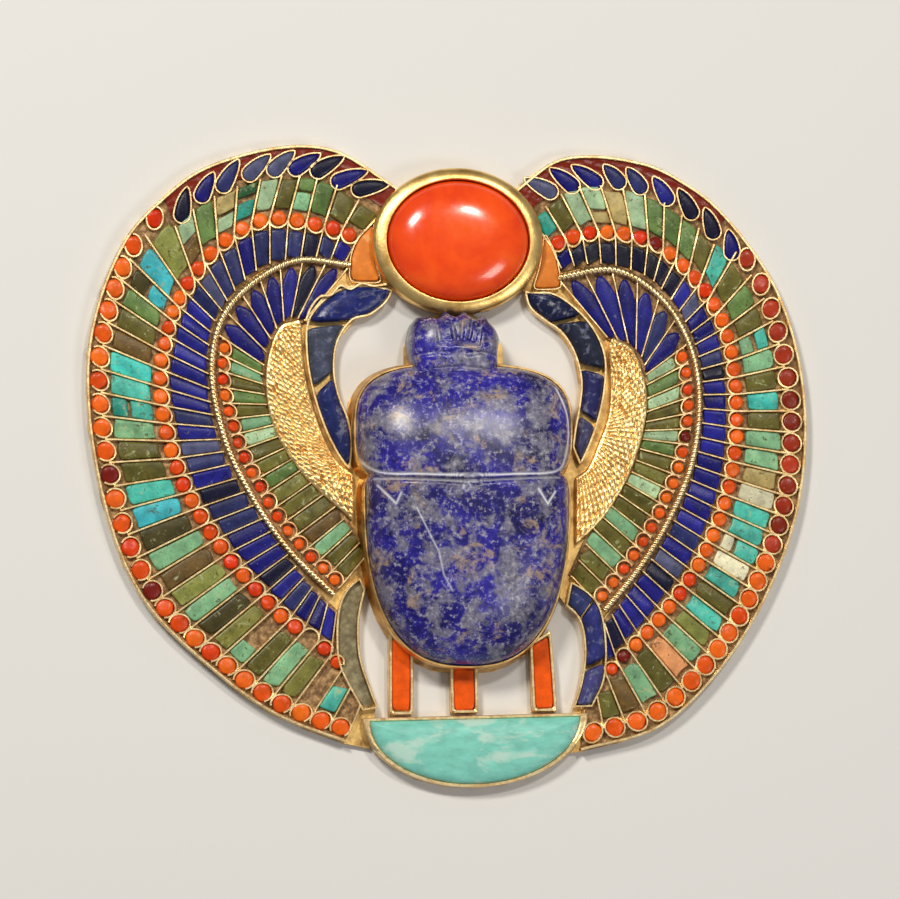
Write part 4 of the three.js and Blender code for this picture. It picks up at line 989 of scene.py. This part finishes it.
for side, outline in corners.items():
    path = round_the(outline, 40)
    rings = slab(path, [(0.1, STONE["foot"] - 0.2), (0.1, 1.98), (0.16, 2.1), (0.34, 2.16)])
    lay_stones(f"{side}_corner_stone", rings[None], [(0.66, 0.19, 0.022)], orange_stone,
               "orange_stone", f"{side}_corner_inlay")
    section = strip_profile(-0.11, 0.11, WALL["foot"] - 0.2, WALL["top"], 0.05)
    rings = carried(path, section, closed=True)
    fit(shells(f"{side}_corner_walls", rings, loop=True), strip_gold, "gold")


# THE SUN DISC
# A domed oval of clear red carnelian in a broad polished gold ring with a rounded back.

DISC = {"centre": np.array([1.15, 32.5]), "ring": np.array([12.36, 10.56]),
        "stone": np.array([10.237, 8.69]), "seat": 3.4, "edge": 3.9, "top": 6.75, "foot": 0.85}
angle = np.linspace(0, 2 * np.pi, 160, endpoint=False)
unit = np.stack([np.cos(angle), np.sin(angle)], -1)
ring_gold = worn_gold("ring_gold", (0.98, 0.68, 0.25), (0.62, 0.36, 0.1), 0.24, 0.42, 4.0, 0.6)
levels = [(1.0, DISC["foot"]), (1.008, 3.0), (1.006, 3.6), (0.993, 3.98), (0.965, 4.22), (0.91, 4.44),
          (0.865, 4.56), (0.848, 4.54), (0.84, 4.42), (0.836, 4.1), (0.836, DISC["foot"])]
rows = [raised(DISC["centre"] + unit * DISC["ring"] * share, height) for share, height in levels]
fit(shells("disc_collar", np.stack(rows), loop=True, smooth=45), ring_gold, "gold", "disc_ring")

rows = [raised(DISC["centre"] + unit * DISC["stone"], DISC["seat"])]
for rise in np.linspace(0.12, np.pi / 2 - 0.03, 34):
    height = DISC["edge"] + (DISC["top"] - DISC["edge"]) * np.sin(rise) ** 1.15
    rows.append(raised(DISC["centre"] + unit * DISC["stone"] * np.cos(rise) ** 0.62, height))
sun_red, tree, surface = finish_tree("sun_red")
haze = grainy(tree, 7.0, detail=5, warp=0.6)
faint = grainy(tree, 0.8, detail=4)
colour = ramp(tree, haze, (0.32, (0.72, 0.04, 0.001)), (0.55, (0.88, 0.075, 0.002)),
              (0.75, (0.9, 0.12, 0.005)))
dress(tree, surface, colour, (faint, 0.12, 0.00004), (faint, 0.1, 0.26))
surface.inputs["Coat Weight"].default_value = 0.3
surface.inputs["Coat Roughness"].default_value = 0.06
fit(shells("sun_cabochon", np.stack(rows), smooth=60), sun_red, "carnelian", "sun_disc")


# THE BEZEL OF THE BEETLE
# A wall of gold round the beetle, flared at its foot where it is soldered to the plate.

BEETLE = {
    "cases": {"centre": (2.3, -3.2), "half": (14.7, 25.8), "up": 3.0, "power": 2.6},
    "thorax": {"centre": (1.75, 5.0), "half": (15.5, 9.2), "up": 9.2, "power": 3.2},
}


def oval(shape, points):
    """A rounded outline: a superellipse whose upper half may be lower than its lower half."""
    angle = np.linspace(0, 2 * np.pi, points, endpoint=False)
    c, s = np.cos(angle), np.sin(angle)
    tall = np.where(s > 0, shape["up"], shape["half"][1])
    flat = np.stack([np.sign(c) * np.abs(c) ** (2 / shape["power"]) * shape["half"][0],
                     np.sign(s) * np.abs(s) ** (2 / shape["power"]) * tall], -1)
    return flat + np.array(shape["centre"])


bezel_gold = worn_gold("bezel_gold", (0.8, 0.52, 0.2), (0.3, 0.16, 0.05), 0.25, 0.55, 2.5, 0.5)
section = [(-0.9, 0.98), (-0.75, 1.5), (-0.42, 2.3), (-0.36, 5.45), (-0.3, 5.55), (-0.1, 5.55),
           (0.0, 5.4), (0.4, 0.98)]
for key, stands_for in (("cases", ["scarab_bezel"]), ("thorax", [])):
    rings = carried(round_the(oval(BEETLE[key], 200), 160), section, closed=True)
    fit(shells(f"{key}_bezel", rings, loop=True), bezel_gold, "gold", *stands_for)


# THE BEETLE
# One large piece of lapis, carved as a beetle: wing cases below, the thorax over them, and a
# head with a toothed front. Its lines are incised.

def groove(places, line, width, depth):
    """How deep a line cuts at each place: a bell round the shortest distance to the line."""
    nearest = np.full(places.shape[:-1], 99.0)
    for a, b in zip(line[:-1], line[1:]):
        a, b = np.array(a, float), np.array(b, float)
        share = np.clip(((places - a) @ (b - a)) / ((b - a) @ (b - a)), 0, 1)
        nearest = np.minimum(nearest, np.linalg.norm(places - a - share[..., None] * (b - a), axis=-1))
    return depth * np.exp(-((nearest / width) ** 2))


def reach_of(hub, outlines, count):
    """The farthest that any of the outlines lies from a hub, in each of many directions."""
    reach = np.zeros(count)
    for outline in outlines:
        away = round_the(outline, 20000) - hub
        turn = np.arctan2(away[:, 1], away[:, 0]) / (2 * np.pi) + 0.5
        np.maximum.at(reach, (turn * count).astype(int) % count, np.linalg.norm(away, axis=-1))
    return reach


def dome(hub, outlines, size):
    """Places and heights of a carved dome. The first rings follow the outlines' reach, and further
    in they run over into a smoothed one. The height rises with a power of the sine."""
    count = size["spokes"]
    reach = calm = reach_of(hub, outlines, count)
    turns = (np.arange(count) + 0.5) / count * 2 * np.pi - np.pi
    for _ in range(300):
        calm = (np.roll(calm, 1) + calm + np.roll(calm, -1)) / 3
    rise = np.linspace(0, np.pi / 2 - 0.015, size["rings"])[:, None]
    share = np.clip(rise / 0.8, 0, 1)
    far = (reach * (1 - share) + calm * share) * np.cos(rise) ** size["steep"]
    flat = hub + far[..., None] * np.stack([np.cos(turns), np.sin(turns)], -1)
    height = size["edge"] + (size["top"] - size["edge"]) * np.sin(rise) ** size["full"]
    return flat, height + np.zeros(far.shape)


def carved(name, flat, height, cuts, foot, *stands_for):
    """A dome with lines cut into it, each with its width and depth, and with the width and
    strength of the pale scratch that runs along it. A last ring stands at the foot."""
    pale = np.zeros(flat.shape[:-1])
    for line, width, depth, thin, white in cuts:
        height = height - groove(flat, line, width, depth)
        pale = np.maximum(pale, groove(flat, line, thin, white))
    rings = np.concatenate([raised(flat[:1], foot), raised(flat, height)])
    pale = np.concatenate([pale[:1], pale])
    fit(shells(name, rings, smooth=50, scratch=pale[None]), beetle_blue, "lapis", *stands_for)


beetle_blue, tree, surface = finish_tree("beetle_blue")
broad = grainy(tree, 9.0, detail=6, rough=0.6, warp=0.8)
patch = grainy(tree, 3.4, detail=9, rough=0.68, warp=0.3)
speck = grainy(tree, 0.8, detail=6, rough=0.75)
blue = ramp(tree, broad, (0.34, (0.004, 0.003, 0.045)), (0.5, (0.014, 0.009, 0.2)),
            (0.64, (0.03, 0.02, 0.34)))
blue = mixed(tree, ramp(tree, patch, (0.49, 0.0), (0.58, 0.85)), blue, (0.2, 0.19, 0.25))
blue = mixed(tree, ramp(tree, speck, (0.54, 0.0), (0.63, 0.8)), blue, (0.4, 0.39, 0.42))
tan = ramp(tree, grainy(tree, 4.2, detail=9, rough=0.72, warp=0.5), (0.56, 0.0), (0.63, 0.85))
blue = mixed(tree, tan, blue, (0.38, 0.27, 0.19))
blue = mixed(tree, 1.0, blue, ramp(tree, speck, (0.34, 0.35), (0.5, 1.0)), "MULTIPLY")
scratch = shade(tree, "Attribute", attribute_name="scratch").outputs["Fac"]
blue = mixed(tree, scratch, blue, (0.8, 0.8, 0.86))
dress(tree, surface, blue, (speck, 0.3, 0.0001), (patch, 0.16, 0.34))

BODY = {"spokes": 480, "rings": 170, "foot": 1.1, "edge": 4.3, "top": 12.66, "steep": 0.66, "full": 0.8}
HEAD = {"spokes": 300, "rings": 80, "foot": 0.9, "edge": 3.6, "top": 8.7, "steep": 0.42, "full": 0.8}
border = guide([(14.9, 10.9), (16.5, 6.5), (16.2, 1.4), (15.0, -1.0), (8.0, -1.9), (1.5, -2.1),
                (-5.0, -2.0), (-11.2, -1.5), (-13.6, 0.9), (-13.9, 5.0), (-13.6, 9.3), (-12.0, 11.6)])
border = border(np.linspace(0, 1, 60)).tolist()
seam = [(-14.0, -0.2), (-11.5, -2.5), (1.5, -3.0), (15.2, -2.1), (17.0, 0.2)]
cuts = [(seam[1:4], 0.13, 0.3, 0.13, 0.8),
        ([(-11.1, -3.5), (-8.6, -6.2), (-7.9, -4.6)], 0.15, 0.2, 0.15, 0.7),
        ([(11.8, -3.9), (13.2, -6.0), (14.4, -4.2)], 0.15, 0.2, 0.15, 0.9),
        ([(0.6, -4.0), (1.4, -2.9), (2.2, -4.2)], 0.13, 0.2, 0.13, 0.5),
        ([(-5.8, -6.8), (-3.8, -10.9), (-2.6, -13.2), (-1.9, -16.4), (-0.6, -18.7)],
         0.1, 0.05, 0.1, 0.6),
        (border, 0.15, 0.25, 0.15, 0.9)]
flat, height = dome(np.array([2.1, -5.0]), [oval(shape, 900) for shape in BEETLE.values()], BODY)
step = flat[..., 1] - np.interp(flat[..., 0], *np.array(seam).T)
height = height + 0.2 * np.clip(step / 0.5, 0, 1) - groove(flat, seam, 0.3, 0.45)
carved("beetle_body", flat, height, cuts, BODY["foot"], "scarab")

# The head: square, with four teeth in front, a sunk plate behind them and a band across its neck
outline = round_the([
    (-5.0, 11.0), (-5.6, 14.1), (-6.1, 16.2), (-6.2, 18.0), (-5.6, 20.4), (-4.9, 21.2), (-3.3, 21.3),
    (-2.1, 20.7), (-0.7, 22.3), (0.5, 20.9), (2.0, 22.4), (3.2, 20.8), (4.9, 21.7), (5.6, 20.5),
    (6.6, 19.6), (7.1, 18.2), (6.6, 16.2), (6.8, 14.4), (6.2, 11.0)], 300)
lines = [[(-2.6, 21.0), (-2.0, 17.2), (3.6, 17.2), (4.2, 21.0)], [(-0.2, 20.4), (0.2, 18.0)],
         [(1.4, 20.4), (1.2, 18.0)], [(2.8, 20.4), (2.3, 18.0)],
         [(-5.6, 15.4), (-2.4, 15.9), (1.0, 15.6), (4.0, 15.9), (6.6, 15.4)],
         [(-3.6, 13.4), (1, 13.8), (5, 13.4)]]
flat, height = dome(np.array([0.6, 16.0]), [outline], HEAD)
x, y = flat[..., 0], flat[..., 1]
sunk = np.clip((2.7 + (y - 17.4) * 0.2 - np.abs(x - 0.8)) / 0.4, 0, 1) * np.clip((y - 17.2) / 0.4, 0, 1)
cuts = [(line, 0.28, 0.4, 0.12, 0.12) for line in lines]
carved("beetle_head", flat, height - 0.7 * sunk, cuts, HEAD["foot"])


# THE STROKES UNDER THE BEETLE
# Three bars of carnelian in cells of their own, between the beetle and the basket.

strokes = {
    "left": [(-8.6, -23.2), (-5.1, -25.6), (-5.1, -35.9), (-8.6, -36.0)],
    "middle": [(0.2, -28.3), (4.2, -28.3), (4.3, -35.6), (0.4, -35.7)],
    "right": [(11.8, -25.6), (14.9, -23.6), (15.8, -35.3), (12.2, -35.4)],
}


def between(cell, u, v):
    """A place in a cell: shares across and down between its four corners."""
    (a, b, c, d), u, v = cell, u[..., None], v[..., None]
    return (a * (1 - u) + b * u) * (1 - v) + (d * (1 - u) + c * u) * v


def cell_rings(cell, power, wobble, levels):
    """Rings in a four-cornered cell: a near-square outline drawn in by each level's inset, at
    each level's height."""
    unit = pebbles(1, 48, power, wobble)[0]
    (left, right), (head, foot) = (between(cell, np.array(u), np.array(v)) for u, v in (
        ([0, 1], [0.5, 0.5]), ([0.5, 0.5], [0, 1])))
    size = np.array([np.linalg.norm(right - left), np.linalg.norm(foot - head)])
    return np.stack([raised(between(cell, *(0.5 + unit * (0.5 - inset / size)).T), height)
                     for inset, height in levels])


for name, cell in strokes.items():
    cell = np.array(cell)
    rings = cell_rings(cell, 14, 0.0, [(0.0, 0.04), (0.0, 2.18), (0.07, 2.25), (0.38, 2.25),
                                       (0.45, 2.18), (0.45, 0.04)])
    fit(shells(f"{name}_stroke_walls", rings, loop=True), strip_gold, "gold", f"{name}_stroke_cell")
    rings = cell_rings(cell, 10, 0.05, [(0.45, 1.0), (0.45, 1.85), (0.55, 1.96), (0.8, 2.0),
                                        (1.2, 2.02)])
    lay_stones(f"{name}_stroke_stone", rings[None], [(0.8, 0.095, 0.004)], carnelian, "carnelian",
               f"{name}_stroke_inlay")


# THE BASKET
# A half-round cell of gold at the foot of the jewel, which holds one broad pale turquoise.

BASKET = {"left": np.array([-12.5, -36.5]), "right": np.array([20.2, -35.5]), "depth": 10.35}


def basket_outline(inset, points=90):
    """A straight line above and half an ellipse below, drawn in all round by an inset, and by
    more at the two sharp corners."""
    middle = (BASKET["left"] + BASKET["right"]) / 2 - (0, inset)
    tilt = (BASKET["right"][1] - BASKET["left"][1]) / (BASKET["right"][0] - BASKET["left"][0])
    half = (BASKET["right"][0] - BASKET["left"][0]) / 2 - 2.3 * inset
    angle = np.pi * (1 + np.linspace(0, 1, points))
    x, y = half * np.cos(angle), (BASKET["depth"] - 2 * inset) * np.sin(angle)
    lower = np.stack([middle[0] + x, middle[1] + tilt * x + y], -1)
    back = np.linspace(0, 1, 62)[1:-1, None]
    return np.vstack([lower, lower[-1] + (lower[0] - lower[-1]) * back])


def basket_rings(levels):
    """Rings of the basket's outline, each with its inset and height."""
    return np.stack([raised(basket_outline(inset), height) for inset, height in levels])


rings = basket_rings([(0.02, 0.04), (0.02, 2.5), (0.1, 2.6), (0.42, 2.6), (0.5, 2.5), (0.5, 0.9)])
fit(shells("basket_walls", rings, loop=True), strip_gold, "gold", "basket_cell")
pale_turquoise = stone_finish(
    "pale_turquoise", [(0.5, 0.68, 0.58), (0.16, 0.36, 0.3)], (4.5, 1.2), (0.52, 0.72), 0.3,
    streak=(0.6, 1.4, 1), spread=0.3)
rows = [(0.5, 1.0), (0.5, 2.3), (0.58, 2.62), (0.85, 2.95), (1.4, 3.25), (2.2, 3.45), (3.2, 3.53)]
lay_stones("basket_stone", basket_rings(rows)[None], [(0.2, 0.56, 0.46)], pale_turquoise, "turquoise",
           "basket_inlay")


# THE FLOOR, THE LIGHT AND THE CAMERA
# The jewel lies face up on a plain pale floor under soft light from above and the left. The
# camera looks down on it from a little to the left and below, through a long lens.

mesh = bpy.data.meshes.new("pale_floor")
mesh.from_pydata([(-1, -1, 0), (1, -1, 0), (1, 1, 0), (-1, 1, 0)], [], [(0, 1, 2, 3)])
floor = bpy.data.objects.new("pale_floor", mesh)
bpy.context.scene.collection.objects.link(floor)
paper, tree, surface = finish_tree("pale_paper")
surface.inputs["Base Color"].default_value = (0.7, 0.69, 0.67, 1)
surface.inputs["Roughness"].default_value = 0.9
mesh.materials.append(paper)

world = bpy.data.worlds.new("studio")
world.use_nodes = True
world.node_tree.nodes["Background"].inputs["Color"].default_value = (0.9, 0.92, 1, 1)
world.node_tree.nodes["Background"].inputs["Strength"].default_value = 0.22
bpy.context.scene.world = world


def lamp(name, place, aim, size, power, colour=(1, 1, 1)):
    """A square soft light that looks at a point."""
    light = bpy.data.lights.new(name, "AREA")
    light.size, light.energy, light.color = size, power, colour
    holder = bpy.data.objects.new(name, light)
    bpy.context.scene.collection.objects.link(holder)
    place, aim = np.array(place), np.array(aim)
    holder.location = place
    toward = Vector(aim - place)
    holder.rotation_euler = toward.to_track_quat("-Z", "Y").to_euler()


lamp("key", (-0.25, 0.3, 0.55), (0, 0.01, 0), 0.11, 2.7, (1, 0.95, 0.86))
lamp("fill", (0.38, -0.25, 0.6), (0.02, -0.02, 0), 0.2, 1.1, (1, 0.96, 0.9))
lamp("sheen", (0.2, 0.42, 0.95), (0, 0, 0), 0.09, 3.2, (1, 0.96, 0.88))

view = bpy.data.cameras.new("view")
view.sensor_width = 36
view.lens = 36 * 1000 / 129.9
eye = bpy.data.objects.new("view", view)
bpy.context.scene.collection.objects.link(eye)
aim = np.array([0.22, 2.39, 2.0]) / 1000
lean = np.array([-math.tan(math.radians(7)), -math.tan(math.radians(5)), 1])
place = aim + lean / np.linalg.norm(lean)
back = Vector(lean).normalized()
side_on = Vector((0, 1, 0)).cross(back).normalized()
turned = Matrix((side_on, back.cross(side_on), back)).transposed()
eye.matrix_world = Matrix.Translation(place) @ turned.to_4x4()
bpy.context.scene.camera = eye
view.clip_end = 10
bpy.context.scene.view_settings.view_transform = "Standard"
